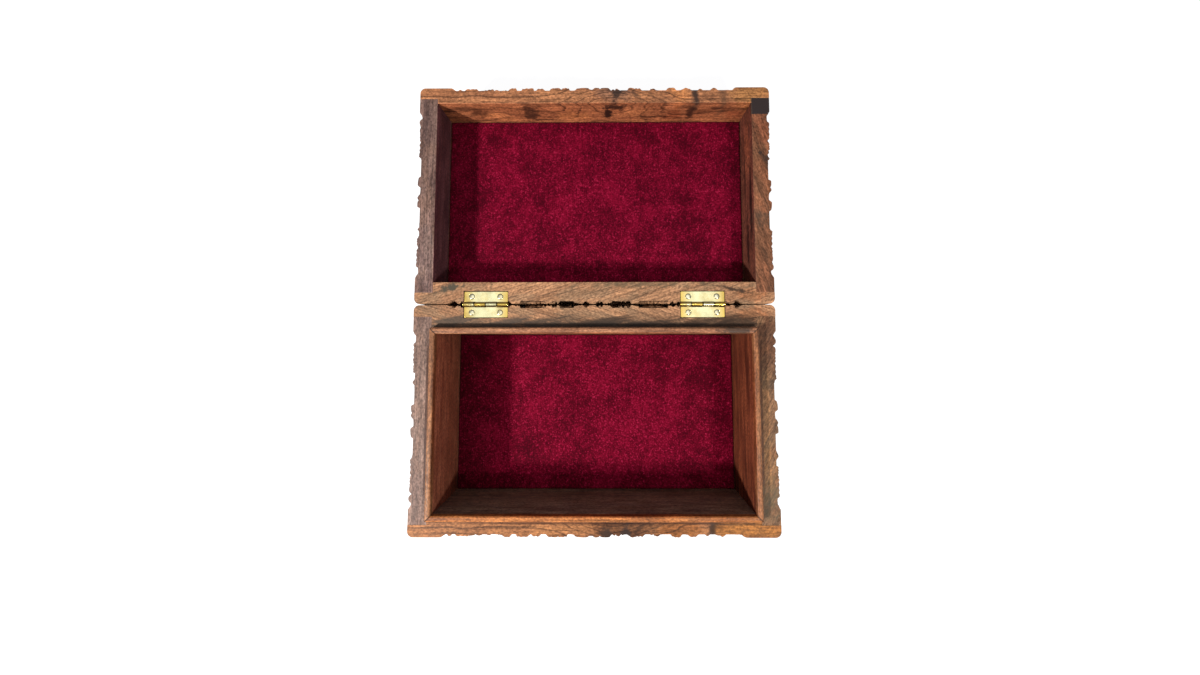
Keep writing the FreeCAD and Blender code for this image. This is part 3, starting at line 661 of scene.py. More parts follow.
rightWood = {
    "light": (127, 92, 64),
    "mid": (110, 77, 53),
    "dark": (57, 42, 32),
    "cast": (98, 79, 58),
    "heart": (0, -60, 90),
    "ringPitch": 3.2,
    "wander": 20.0,
    "slant": 0.45,
    "lines": 0.4,
    "streaks": 0.15,
    "casting": 0.4,
    "shift": (91, 12, 27),
    "turn": (0, 0, -90),
}
panelWood = {
    "light": (136, 90, 58),
    "mid": (104, 66, 44),
    "dark": (42, 28, 21),
    "cast": (86, 62, 46),
    "heart": (0, 20, -60),
    "ringPitch": 3.4,
    "wander": 22.0,
    "lines": 0.6,
    "streaks": 0.5,
    "casting": 0.3,
    "shift": (63, 22, 71),
}
linerWood = {
    "light": (170, 106, 58),
    "mid": (140, 82, 42),
    "dark": (62, 34, 22),
    "cast": (112, 66, 44),
    "heart": (0, 60, 140),
    "ringPitch": 3.0,
    "wander": 12.0,
    "lines": 0.35,
    "streaks": 0.4,
    "pores": 0.45,
    "casting": 0.25,
    "shift": (17, 17, 3),
    "shine": 0.18,
}


def variedWood(wood, **changes):
    return {**wood, **changes}


# One mark on a board, by its middle and half sizes: a stain covers the wood with a colour, and a tint
# multiplies what is there

def stain(center, half, colour, **look):
    return {"center": center, "half": half, "colour": colour, **look}


def tint(center, half, gain, **look):
    return {"center": center, "half": half, "gain": gain, **look}


# Dark marks, partly dirt and partly painted shade: round the hinge seats, and where the lip meets the rim
hingeSeatShadeAndDirt = tuple(
    stain((x, 60.0, 45.3), (12.95, 4.25, 3), (40, 25, 18), ragged=0.03, soft=0.05, square=1.0, strength=0.9)
    for x in (-61.0, 61.0)
)


# a dark band at the lip's foot, partly dirt and partly painted contact shade
def lipFootShadeAndDirt(center, half):
    return stain(center, half, (64, 36, 24), ragged=0.1, soft=0.4, square=1.0, strength=0.7)


lipFrontShadeAndDirt = lipFootShadeAndDirt((0, -55.0, 45.2), (93, 1.5, 2))
lipBackShadeAndDirt = lipFootShadeAndDirt((0, 50.9, 45.2), (92, 0.4, 2))
lipLeftShadeAndDirt = lipFootShadeAndDirt((-92.4, -1.5, 45.2), (1.5, 54, 2))
lipRightShadeAndDirt = lipFootShadeAndDirt((92.2, -1.5, 45.2), (1.3, 54, 2))


# painted shade on the lip's inner rounding
def lipRoundingShade(center, half):
    return tint(center, half, (0.72, 0.5, 0.4), ragged=0.15, soft=0.8, square=1.0)


def insideTint(center, half, gain, soft):
    # an inner face, smoothed and tinted apart from the rim; on the box's liners the tint is painted light
    # and shade
    return tint(center, half, gain, ragged=0.0, soft=soft, square=1.0)


# Marks that the boards carry: knots, dark bands and pale ends, in the shut place
frontMarks = (
    stain((24, -59, 46), (2, 8, 9), (62, 44, 34), angle=40, ragged=1.2, soft=0.9, strength=0.5),
    stain((34, -58, 46), (1.2, 9, 9), (70, 48, 34), angle=46, ragged=1.0, soft=0.9, strength=0.5),
)
boxFrontMarks = frontMarks + (
    lipFrontShadeAndDirt,
    tint((16, -59, 46), (22, 9, 9), (0.42, 0.41, 0.44), ragged=0.4, soft=0.5),
    stain((17, -60, 46), (4, 6, 9), (44, 34, 30), ragged=1.0, soft=0.8, strength=0.9),
    stain((7, -60, 46), (4, 4, 9), (50, 37, 30), ragged=1.0, soft=0.8, strength=0.85),
    tint((46, -59, 46), (16, 9, 12), (0.8, 0.7, 0.52), ragged=0.4, soft=0.5),
    stain((64, -58, 46), (3.2, 12, 20), (64, 44, 33), angle=6, ragged=0.5, soft=0.8),
    tint((84, -59, 46), (26, 9, 16), (1.02, 0.93, 0.56), ragged=0.4, soft=0.4),
)
lidFrontMarks = frontMarks + (
    insideTint((0, -53.1, 60), (96, 1.0, 20), (0.95, 0.75, 0.71), soft=0.05),
    tint((12, -59.5, 46), (15, 7, 9), (0.72, 0.8, 0.98), ragged=0.5, soft=0.6),
    stain((13.5, -60, 46), (5, 5, 9), (48, 37, 33), ragged=1.1, soft=0.8, strength=0.9),
    tint((50, -59, 46), (8, 7, 12), (1.42, 1.32, 1.06), ragged=0.6, soft=0.7),
    stain((59, -58, 46), (3.2, 12, 20), (66, 48, 39), angle=6, ragged=0.5, soft=0.8),
    stain((75, -58, 46), (4, 12, 20), (92, 64, 46), ragged=0.6, soft=0.9, strength=0.7),
    tint((92, -59, 46), (16, 8, 16), (0.95, 1.0, 0.8), ragged=0.5, soft=0.6),
    stain((-39, -54, 58), (7, 3, 15), (60, 34, 24), ragged=1.0, soft=0.7, strength=0.9),
    stain((-70, -54, 58), (9, 3, 7), (72, 38, 24), ragged=1.0, soft=0.9, strength=0.8),
    stain((12, -54, 50), (9, 3, 5), (42, 24, 19), ragged=1.0, soft=0.7, strength=0.9),
    stain((8, -54, 57), (3, 3, 8), (48, 27, 20), ragged=1.0, soft=0.7),
    stain((36, -54, 62), (16, 3, 2.5), (58, 32, 22), ragged=0.8, soft=0.9, strength=0.8),
    stain((58, -54, 56), (4, 3, 12), (52, 29, 21), ragged=0.9, soft=0.7, strength=0.85),
    stain((76, -54, 52), (12, 3, 2.5), (58, 30, 21), ragged=0.8, soft=0.9, strength=0.8),
    tint((-14, -54, 60), (14, 3, 8), (1.25, 1.3, 1.15), ragged=0.9, soft=0.8),
    tint((-60, -54, 62), (13, 3, 8), (1.35, 1.42, 1.3), ragged=0.7, soft=0.8, grain=(0.5, 1, 1)),
    tint((25, -54, 57), (13, 3, 7), (1.25, 1.32, 1.24), ragged=0.7, soft=0.8, grain=(0.5, 1, 1)),
    tint((48, -54, 61), (9, 3, 10), (0.74, 0.62, 0.6), ragged=0.7, soft=0.8),
    tint((84, -54, 60), (8, 3, 10), (0.8, 0.7, 0.7), ragged=0.7, soft=0.8),
)
lidLeftMarks = (
    insideTint((-90.4, 0, 60), (1.0, 60, 20), (0.85, 0.56, 0.74), soft=0.05),
    tint((-97, 36, 46), (9, 24, 14), (1.2, 1.28, 1.32), ragged=0.6, soft=0.8),
)
backMarks = hingeSeatShadeAndDirt + (
    tint((88, 58, 46), (12, 5, 10), (1.1, 0.88, 0.75), ragged=0.6, soft=0.7),
)
boxBackMarks = backMarks + (
    lipBackShadeAndDirt,
    stain(
        (0, 50.5, 45), (92, 6.4, 9), (54, 43, 34), ragged=0.5, soft=0.7, strength=0.85, grain=(0.3, 1, 1)
    ),
) + tuple(
    stain(
        (x, 52.8, 45), (23, 4.6, 9), colour,
        angle=-10, ragged=0.8, soft=0.7, strength=0.85, grain=(0.2, 1.5, 1),
    )
    for x, colour in (
        (-80, (66, 58, 50)),
        (-52, (64, 57, 50)),
        (-26, (58, 50, 42)),
        (4, (52, 42, 34)),
        (32, (48, 38, 30)),
        (60, (48, 35, 26)),
        (80, (46, 33, 24)),
    )
)
lidBackMarks = backMarks + (
    stain((-82, 54, 45), (12, 2.5, 9), (72, 64, 52), angle=12, ragged=1.2, soft=0.8),
    stain((30, 52, 45), (40, 2.4, 9), (84, 72, 54), ragged=1.4, soft=0.8, strength=0.6),
    stain((78, 55, 45), (14, 1.5, 9), (66, 48, 36), angle=-12, ragged=1.0, soft=0.8),
)
boxRightMarks = (
    lipRightShadeAndDirt,
    stain((96, -44, 46), (8, 14, 14), (84, 74, 54), ragged=1.0, soft=0.9, strength=0.6),
    stain((97, 20, 46), (6, 8, 14), (66, 54, 43), ragged=1.2, soft=0.9, strength=0.6),
    tint((97, 40, 46), (10, 24, 14), (0.68, 0.58, 0.6), ragged=0.5, soft=0.6),
    tint((97, -24, 46), (8, 14, 14), (1.2, 1.1, 0.96), ragged=0.7, soft=0.8),
    # painted light over the shadow that the lip casts on the right rim
    tint((94.6, -1, 46), (3.2, 54, 8), (1.42, 1.36, 1.14), ragged=0.15, soft=0.6, square=1.0),
)
lidRightMarks = (
    insideTint((90.4, 0, 60), (1.0, 60, 20), (0.62, 0.49, 0.62), soft=0.05),
    tint((91, -30, 56), (4, 24, 8), (1.9, 1.8, 1.5), ragged=0.6, soft=0.9),
    stain((91, -14, 61), (4, 30, 1.6), (40, 23, 19), ragged=0.5, soft=0.8, strength=0.85),
    stain((91, 6, 51), (4, 34, 3.2), (30, 17, 15), ragged=0.5, soft=0.7, strength=0.9),
    stain((91, 26, 58), (4, 22, 3.5), (32, 18, 16), ragged=0.5, soft=0.7, strength=0.85),
    tint((97, -38, 46), (10, 14, 14), (0.85, 0.76, 0.76), ragged=0.7, soft=0.8),
    stain((96, -24, 46), (2.5, 2.5, 14), (50, 38, 32), ragged=1.4, soft=0.8, strength=0.8),
    stain((99, -20, 46), (3, 3, 14), (48, 38, 33), ragged=1.4, soft=0.8, strength=0.8),
    stain((95, 14, 46), (6, 7, 14), (76, 60, 48), ragged=1.2, soft=0.9, strength=0.6),
    stain((96.5, -52, 44.4), (8, 5.2, 3), (50, 41, 39), ragged=0.05, soft=0.06, square=1.0),
)
# dark lines where the lip is mitred
mitreLines = tuple(
    stain(
        (x, y, 49), (3.2, 0.42, 6), (46, 24, 16),
        angle=45 if x * y < 0 else -45, ragged=0.04, soft=0.5, square=1.0, strength=0.85,
    )
    for x in (-89.3, 89.3)
    for y in (-52.0, 49.0)
)
frontLinerMarks = mitreLines + (
    lipRoundingShade((0, -50.1, 49), (90, 1.1, 3.5)),
    # painted shade colour: the front liner's inner face made cooler and greyer, as it stands in shade
    insideTint((0, -49.4, 24), (96, 1.2, 24), (0.64, 1.3, 3.0), soft=0.08),
)
backLinerMarks = mitreLines + (
    lipRoundingShade((0, 47.1, 49), (90, 1.1, 3.5)),
    stain((78, 49, 50), (12, 3.4, 5), (58, 48, 40), ragged=0.7, soft=0.6, strength=0.85),
)
leftLinerMarks = mitreLines + (
    lipRoundingShade((-87.4, -1.5, 49), (1.1, 52, 3.5)),
    # painted light on the left liner's inner face, which the lamps light weakly
    insideTint((-86.7, 0, 24), (1.2, 60, 24), (1.4, 1.05, 1.3), soft=0.08),
)
rightLinerMarks = mitreLines + (
    lipRoundingShade((87.4, -1.5, 49), (1.1, 52, 3.5)),
    # painted shade on the right liner's inner face, which the left lamp lights strongly
    insideTint((86.7, 0, 24), (1.2, 60, 24), (0.66, 0.43, 0.45), soft=0.08),
) + tuple(
    stain(center, half, colour, ragged=0.6, soft=0.8, strength=strength, grain=(1, 0.15, 1))
    for center, half, colour, strength in (
        ((87, 26, 38), (2, 26, 5), (54, 22, 14), 0.75),
        ((87, -18, 30), (2, 36, 2.5), (50, 20, 13), 0.65),
        ((87, 4, 16), (2, 46, 3), (56, 24, 15), 0.5),
    )
)
lidFrontWood = variedWood(frontWood, light=(176, 117, 78), mid=(149, 96, 64), cast=(120, 79, 55))
lidLeftWood = variedWood(leftWood, light=(116, 90, 80), mid=(88, 66, 60))
lidRightWood = variedWood(
    rightWood, light=(138, 87, 60), mid=(114, 71, 48), cast=(96, 68, 49), slant=0.35, shift=(31, 82, 17)
)
backLinerWood = variedWood(linerWood, light=(164, 114, 82), mid=(136, 91, 65), shift=(71, 4, 8))
leftLinerWood = variedWood(
    linerWood, light=(140, 95, 62), mid=(114, 73, 45), turn=(0, 0, -90), shift=(33, 8, 51)
)
rightLinerWood = variedWood(
    linerWood, light=(142, 92, 58), mid=(108, 66, 42), streaks=0.75, turn=(0, 0, -90), shift=(3, 61, 12)
)

materials = {
    "box_front_wall": woodMaterial("frontBoardWood", frontWood, boxFrontMarks),
    "lid_front_wall": woodMaterial("lidFrontBoardWood", lidFrontWood, lidFrontMarks, isLid=True),
    "box_back_wall": woodMaterial("backBoardWood", backWood, boxBackMarks),
    "lid_back_wall": woodMaterial("lidBackBoardWood", backWood, lidBackMarks, isLid=True),
    "box_left_wall": woodMaterial("leftBoardWood", leftWood, (lipLeftShadeAndDirt,)),
    "lid_left_wall": woodMaterial("lidLeftBoardWood", lidLeftWood, lidLeftMarks, isLid=True),
    "box_right_wall": woodMaterial("rightBoardWood", rightWood, boxRightMarks),
    "lid_right_wall": woodMaterial("lidRightBoardWood", lidRightWood, lidRightMarks, isLid=True),
    "lid_top_panel": woodMaterial("topBoardWood", panelWood, isLid=True),
    "box_bottom_panel": woodMaterial("bottomBoardWood", variedWood(panelWood, shift=(9, 55, 31))),
    "box_front_liner": woodMaterial("frontLinerWood", linerWood, frontLinerMarks),
    "box_back_liner": woodMaterial("backLinerWood", backLinerWood, backLinerMarks),
    "box_left_liner": woodMaterial("leftLinerWood", leftLinerWood, leftLinerMarks),
    "box_right_liner": woodMaterial("rightLinerWood", rightLinerWood, rightLinerMarks),
}
brass = {"box": brassMaterial("polishedBrass", leafBrass), "lid": brassMaterial("lidBrass", lidLeafBrass)}
nailMetal = brassMaterial("nailBrass", nailBrass)
steel = steelMaterial()
velvet = {
    "box": velvetMaterial("crimsonVelvet", velvetLook),
    "lid": velvetMaterial("lidVelvet", lidVelvetLook),
}
print("materials built:", len(bpy.data.materials))


# Mesh helpers

def newObject(name, mesh):
    piece = bpy.data.objects.new(name, mesh)
    bpy.context.scene.collection.objects.link(piece)
    return piece


def plainMesh(piece, name):
    # the piece as its modifiers leave it, as a mesh of its own
    bpy.context.view_layer.update()
    seen = piece.evaluated_get(bpy.context.evaluated_depsgraph_get())
    mesh = bpy.data.meshes.new_from_object(seen)
    mesh.name = name
    return mesh


def dropObject(piece):
    mesh = piece.data
    bpy.data.objects.remove(piece)
    bpy.data.meshes.remove(mesh)


def meshFromBmesh(work, name):
    mesh = bpy.data.meshes.new(name)
    work.to_mesh(mesh)
    work.free()
    return mesh


def readValues(items, label, kind=np.int32, width=1):
    values = np.empty(len(items) * width, dtype=kind)
    items.foreach_get(label, values)
    return values


def coordinates(mesh):
    return readValues(mesh.vertices, "co", float, 3).reshape(-1, 3)


def setAttribute(mesh, label, domain, values):
    layer = mesh.attributes.get(label) or mesh.attributes.new(label, "FLOAT", domain)
    layer.data.foreach_set("value", np.asarray(values, dtype=np.float32))


def closeRim(work, level):
    # walls from the open rim to a level, and a lid over them, in the same order on every run
    rim = [edge.link_loops[0] for edge in work.edges if edge.is_boundary]
    after = {loop.vert: loop.link_loop_next.vert for loop in rim}
    line = [rim[0].vert]
    while after[line[-1]] != line[0]:
        line.append(after[line[-1]])
    far = [work.verts.new((*vertex.co.xy, level)) for vertex in line]
    for i in range(len(line)):
        work.faces.new((line[i], line[i - 1], far[i - 1], far[i]))
    work.faces.new(far[::-1])
    bmesh.ops.recalc_face_normals(work, faces=work.faces)


weldGap = 0.002 * mm
fineWeldGap = 0.0005 * mm


def wholeFaces(mesh):
    # loose triangles joined up, with flat faces made whole
    work = bmesh.new()
    work.from_mesh(mesh)
    bmesh.ops.remove_doubles(work, verts=work.verts, dist=weldGap)
    bmesh.ops.dissolve_limit(work, angle_limit=math.radians(0.5), verts=work.verts, edges=work.edges)
    return meshFromBmesh(work, mesh.name)


def solidCopy(nodeName):
    return wholeFaces(nodes[nodeName].data)


def easeEdges(mesh, width, segments=2):
    # rounds sharp edges; the faces of the rounding are marked as worn
    piece = newObject("easing", mesh)
    mesh.materials.clear()
    mesh.materials.append(None)
    mesh.materials.append(None)
    bevel = piece.modifiers.new("easedEdges", "BEVEL")
    bevel.width = width
    bevel.segments = segments
    bevel.limit_method = "ANGLE"
    bevel.angle_limit = math.radians(34)
    bevel.material = 1
    bevel.use_clamp_overlap = True
    eased = plainMesh(piece, mesh.name)
    dropObject(piece)
    setAttribute(eased, "worn", "FACE", readValues(eased.polygons, "material_index"))
    eased.polygons.foreach_set("material_index", np.zeros(len(eased.polygons), dtype=np.int32))
    eased.materials.clear()
    return eased


def setSharpEdges(mesh, flatAngle, carvedAngle):
    # flat faces keep their own shading; the carved ones run together
    faces = len(mesh.polygons)
    edgeOf = readValues(mesh.loops, "edge_index")
    sizes = readValues(mesh.polygons, "loop_total")
    normals = readValues(mesh.polygons, "normal", float, 3).reshape(-1, 3)
    carved = np.zeros(faces)
    if "carved" in mesh.attributes:
        carved = readValues(mesh.attributes["carved"].data, "value", np.float32)
    faceOf = np.repeat(np.arange(faces), sizes)
    order = np.argsort(edgeOf, kind="stable")
    edges, faceOf = edgeOf[order], faceOf[order]
    pair = np.flatnonzero(edges[:-1] == edges[1:])
    one, two = faceOf[pair], faceOf[pair + 1]
    angle = np.arccos(np.clip((normals[one] * normals[two]).sum(axis=1), -1, 1))
    limit = np.where((carved[one] > 0.5) & (carved[two] > 0.5), carvedAngle, flatAngle)
    sharp = np.zeros(len(mesh.edges), dtype=bool)
    sharp[edges[pair]] = angle > np.radians(limit)
    layer = mesh.attributes.get("sharp_edge") or mesh.attributes.new("sharp_edge", "BOOLEAN", "EDGE")
    layer.data.foreach_set("value", sharp)


def finishPiece(name, mesh, material, nodeName, body, flatAngle=16, carvedAngle=55):
    mesh.materials.clear()
    mesh.materials.append(material)
    mesh.shade_smooth()
    setSharpEdges(mesh, flatAngle, carvedAngle)
    piece = newObject(name, mesh)
    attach(piece, body)
    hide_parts(nodeName)
    return piece


# Carving: vines, leaves and flowers laid out in the plane of a face, then read off as a height field

carving = {
    "groundDepth": 1.7,
    "faceSkin": 0.05,      # the tops stand this far under the board's face
    "cell": 0.45,
    "stemRadius": 1.4,
    "leafLength": 12.5,
    "leafSpacing": 6.2,
    "leafAngle": 50.0,
    "runOut": 3.0,         # the ground rises to the face over this much at the ends of a field
    "toolMarks": 0.09,
    "stippleDepth": 0.22,
    "stippleSize": 1.5,
    # the main forms, as the solids have them
    "solidDepth": 0.9,
    "endMargin": 17.0,
    "sideMargin": 13.2,
    "footMargin": 8.5,
    "topMargin": 12.0,
    "vineGap": 3.6,
    "sideFlower": 14.0,
    "swingShare": 0.41,
    "eyeFlowerShare": 0.23,
}
topCarving = {
    "flowerShare": 0.43,
    "wreathShare": 0.63,
    "endFlowerShare": 0.17,
    "ringShare": 0.28,
    "cornerFlowerShare": 0.165,
    "cornerShares": (0.73, 0.53),
    "endRingShare": 0.245,
    "scrollFrom": math.radians(58),
    "scrollShares": (0.38, 0.66),
    "scrollRadius": 7.0,
    "scrollTurns": 1.4,
}
edgeVine = {"inset": 6.0, "swing": 2.5, "waveLength": 22.0}
leafShape = {
    "steps": 18,
    "halfSteps": 6,
    "halfWidth": 0.26,
    "lobes": 4,
    "lobeDepth": 0.2,
    "veins": 5,
    "veinDepth": 0.2,
    "veinSlant": 1.1,
    "midribDepth": 0.34,
    "midribWidth": 0.13,
    "spineBend": 0.07,
    "leastHeight": 0.3,
}
flowerShape = {
    "rings": 18,
    "spokes": 96,
    "petals": 8,
    "petalGap": 0.42,
    "bossShare": 0.24,
    "moatDepth": 0.5,
    "moatWidth": 0.05,
    "leastHeight": 0.18,
}


def gridMesh(name, points):
    # a mesh over a rectangular table of points
    rows, columns = points.shape[:2]
    corner = np.arange(rows * columns).reshape(rows, columns)
    around = (corner[:-1, :-1], corner[:-1, 1:], corner[1:, 1:], corner[1:, :-1])
    faces = np.stack(around, axis=-1).reshape(-1, 4)
    mesh = bpy.data.meshes.new(name)
    mesh.from_pydata(points.reshape(-1, 3).tolist(), [], faces.tolist())
    return mesh


def leafTemplate():
    # one leaf of unit length along X, its height in metres above the ground
    shape = leafShape
    along = np.linspace(0, 1, shape["steps"] + 1)[:, None]
    across = np.linspace(-1, 1, 2 * shape["halfSteps"] + 1)[None, :]
    width = shape["halfWidth"] * np.sin(np.pi * np.clip(along, 0.02, 0.98) ** 0.75)
    width = width * (1 + shape["lobeDepth"] * np.cos(2 * np.pi * shape["lobes"] * along))
    spine = shape["spineBend"] * np.sin(np.pi * along)
    rise = carving["groundDepth"] * mm
    crown = 0.5 + 0.5 * (1 - np.abs(across) ** 1.6)
    midrib = shape["midribDepth"] * np.exp(-((across / shape["midribWidth"]) ** 2))
    veinTurns = shape["veins"] * along - shape["veinSlant"] * np.abs(across)
    veins = shape["veinDepth"] * np.cos(2 * np.pi * veinTurns)
    height = rise * np.clip(crown - midrib + veins, shape["leastHeight"], 1.0)
    flat = np.ones_like(across)
    points = np.stack([along * flat, spine + width * across, height], axis=-1)
    return newObject("leafTemplate", gridMesh("leafTemplate", points))


def flowerTemplate():
    # one flower of unit radius: cupped petals round a domed boss
    shape = flowerShape
    radius = np.linspace(0.001, 1, shape["rings"] + 1)[:, None]
    angle = np.linspace(0, 2 * np.pi, shape["spokes"] + 1)[None, :]
    petal = np.abs(np.cos(shape["petals"] * angle / 2))
    reach = 0.7 + 0.3 * petal ** 0.55
    rise = carving["groundDepth"] * mm
    cup = 0.45 + 0.55 * np.sin(np.pi * np.clip(radius, 0, 1) ** 1.3) ** 0.8
    gap = shape["petalGap"] * (1 - petal ** 0.35)
    height = cup - gap + 0 * angle
    boss = np.clip(1 - (radius / shape["bossShare"]) ** 2, 0, 1) ** 0.5
    fromMoat = (radius - shape["bossShare"] * 1.12) / shape["moatWidth"]
    moat = shape["moatDepth"] * np.exp(-(fromMoat ** 2))
    height = np.where(radius < shape["bossShare"], 0.55 + 0.45 * boss, height - moat)
    out, up = radius * reach, rise * np.clip(height, shape["leastHeight"], 1.0)
    points = np.stack([out * np.cos(angle), out * np.sin(angle), up], axis=-1)
    return newObject("flowerTemplate", gridMesh("flowerTemplate", points))


def makeReliefTree():
    inputs = {
        "Geometry": "Geometry",
        "Flowers": "Object",
        "Leaf": "Object",
        "Flower": "Object",
        "Field Width": 0.1,
        "Field Height": 0.05,
        "Cell": 0.0005,
        "Ground Depth": 0.0017,
        "Run Out": 0.003,
        "Stem Radius": 0.001,
        "Leaf Length": 0.012,
        "Leaf Spacing": 0.008,
        "Leaf Angle": 0.8,
        "Tool Marks": 0.0001,
        "Stipple Depth": 0.0002,
        "Stipple Size": 0.0015,
        "Rim Level": 0.0,
        "Chip Depth": 0.0,
        "Chip Size": 0.002,
        "Chip Detail": 0.5,
        "Seed": 0,
        "Material": "Material",
    }
    outputs = {"Geometry": "Geometry"}
    tree, given, result = newTree("carvedRelief", "GeometryNodeTree", inputs, outputs)

    def randomFloat(low, high, offset):
        return randomBetween(tree, low, high, plus(tree, given["Seed"], offset))

    # stems follow the vine lines
    vines = firstOut(tree, "GeometryNodeMeshToCurve", {0: given["Geometry"]})
    section = firstOut(
        tree, "GeometryNodeCurvePrimitiveCircle", {"Resolution": 12, "Radius": given["Stem Radius"]}
    )
    stems = firstOut(tree, "GeometryNodeCurveToMesh", {"Curve": vines, "Profile Curve": section})
    stemSink = 1.02      # the stems' middles lie this many radii under the face
    lift = minus(tree, given["Ground Depth"], times(tree, given["Stem Radius"], stemSink))
    stemRise = joinVector(tree, z=lift)
    stems = firstOut(tree, "GeometryNodeTransform", {"Geometry": stems, "Translation": stemRise})

    # leaves spring from the vines, left and right in turn
    nodesOnVine = firstOut(
        tree, "GeometryNodeResampleCurve", {"Curve": vines, "Length": given["Leaf Spacing"]}, mode="LENGTH"
    )
    tangent = firstOut(tree, "GeometryNodeInputTangent")
    facing = firstOut(tree, "FunctionNodeAlignRotationToVector", {"Vector": tangent}, axis="X")
    index = firstOut(tree, "GeometryNodeInputIndex")
    side = calc(tree, "MULTIPLY_ADD", calc(tree, "MODULO", index, 2.0), 2.0, -1.0)
    spread = times(tree, times(tree, side, given["Leaf Angle"]), randomFloat(0.8, 1.2, 1))
    swing = turnAboutZ(tree, spread)
    leafTurn = firstOut(tree, "FunctionNodeRotateRotation", {0: facing, 1: swing}, rotation_space="LOCAL")
    leafSize = times(tree, given["Leaf Length"], randomFloat(0.78, 1.12, 2))
    leafScale = joinVector(tree, leafSize, leafSize, randomFloat(0.78, 1.0, 4))
    leafMesh = meshOf(tree, given["Leaf"])
    leaves = firstOut(tree, "GeometryNodeInstanceOnPoints", {
        "Points": nodesOnVine, "Instance": leafMesh, "Rotation": leafTurn, "Scale": leafScale,
    })

    # flowers stand on their own points, each with its radius as an attribute
    flowerPoints = meshOf(tree, given["Flowers"])
    radius = firstOut(tree, "GeometryNodeInputNamedAttribute", {"Name": "radius"}, data_type="FLOAT")
    flowerScale = joinVector(tree, radius, radius, 1.0)
    flowerTurn = turnAboutZ(tree, randomFloat(0.0, math.pi, 3))
    flowerMesh = meshOf(tree, given["Flower"])
    flowers = firstOut(tree, "GeometryNodeInstanceOnPoints", {
        "Points": flowerPoints, "Instance": flowerMesh, "Rotation": flowerTurn, "Scale": flowerScale,
    })

    joined = tree.nodes.new("GeometryNodeJoinGeometry")
    for part in (stems, leaves, flowers):
        tree.links.new(part, joined.inputs[0])
    motifs = firstOut(tree, "GeometryNodeRealizeInstances", {0: joined.outputs[0]})

    # a fine grid drops on to the motifs, and lies on the stippled ground between them
    def count(length):
        return plus(tree, calc(tree, "ROUND", calc(tree, "DIVIDE", length, given["Cell"])), 1.0)

    grid = firstOut(tree, "GeometryNodeMeshGrid", {
        "Size X": given["Field Width"],
        "Size Y": given["Field Height"],
        "Vertices X": count(given["Field Width"]),
        "Vertices Y": count(given["Field Height"]),
    })
    here = firstOut(tree, "GeometryNodeInputPosition")
    castFrom, castReach = 0.02, 0.05
    cast = addNode(tree, "GeometryNodeRaycast", {
        "Target Geometry": motifs,
        "Source Position": vectorCalc(tree, "ADD", here, (0, 0, castFrom)),
        "Ray Direction": (0, 0, -1),
        "Ray Length": castReach,
    }).outputs
    found = splitVector(tree, cast["Hit Position"])[2]
    motifHeight = times(tree, cast["Is Hit"], calc(tree, "MAXIMUM", found, 0.0))
    stippleScale = calc(tree, "DIVIDE", 1.0, given["Stipple Size"])
    stipple = addNode(
        tree, "ShaderNodeTexVoronoi", {"Vector": here, "Scale": stippleScale}, feature="F1"
    ).outputs["Distance"]
    ground = times(tree, calc(tree, "MINIMUM", stipple, 1.0), given["Stipple Depth"])
    height = calc(tree, "MAXIMUM", motifHeight, ground)
    toolScale, raggedScale = 420.0, 160.0
    marks = minus(tree, noise(tree, here, 2.0, 0.5, toolScale), 0.5)
    height = plus(tree, height, times(tree, marks, given["Tool Marks"]))
    # short knife cuts across the rim, where the lid and the box meet
    place = splitVector(tree, here)
    cutU = calc(tree, "DIVIDE", place[0], given["Chip Size"])
    cutLength, cutFull, cutGone = 3.0, 0.002, 0.005
    cutV = calc(tree, "DIVIDE", place[1], times(tree, given["Chip Size"], cutLength))
    cuts = noise(tree, joinVector(tree, cutU, cutV, given["Seed"]), given["Chip Detail"])
    fromRim = calc(tree, "ABSOLUTE", minus(tree, place[1], given["Rim Level"]))
    chips = times(tree, ease(tree, cuts, 0.47, 0.62), ease(tree, fromRim, cutFull, cutGone, 1.0, 0.0))
    height = minus(tree, height, times(tree, chips, given["Chip Depth"]))
    height = calc(tree, "MINIMUM", calc(tree, "MAXIMUM", height, 0.0), given["Ground Depth"])
    sunk = minus(tree, height, given["Ground Depth"])
    spot = splitVector(tree, vectorCalc(tree, "ABSOLUTE", here))
    toEnd = minus(tree, times(tree, given["Field Width"], 0.5), spot[0])
    toFoot = minus(tree, times(tree, given["Field Height"], 0.5), spot[1])
    ragged = times(tree, noise(tree, here, 2.0, 0.5, raggedScale), given["Run Out"])
    inside = minus(tree, calc(tree, "MINIMUM", toEnd, toFoot), ragged)
    sunk = times(tree, sunk, ease(tree, inside, 0.0, given["Run Out"]))
    offset = joinVector(tree, z=sunk)
    surface = firstOut(tree, "GeometryNodeSetPosition", {"Geometry": grid, "Offset": offset})
    endTree(tree, surface, given, result)
    return tree


def setInputs(modifier, values):
    for item in modifier.node_group.interface.items_tree:
        if item.item_type == "SOCKET" and item.in_out == "INPUT" and item.name in values:
            modifier[item.identifier] = values[item.name]


def vineLines(name, lines):
    # polylines in the plane of the face, given in millimetres
    points, edges = [], []
    for line in lines:
        first = len(points)
        points += [(u * mm, v * mm, 0) for u, v in line]
        edges += [(first + i, first + i + 1) for i in range(len(line) - 1)]
    mesh = bpy.data.meshes.new(name)
    mesh.from_pydata(points, edges, [])
    return newObject(name, mesh)


def flowerDots(name, flowers):
    mesh = bpy.data.meshes.new(name)
    mesh.from_pydata([(u * mm, v * mm, 0) for u, v, radius in flowers], [], [])
    setAttribute(mesh, "radius", "POINT", [radius * mm for u, v, radius in flowers])
    return newObject(name, mesh)


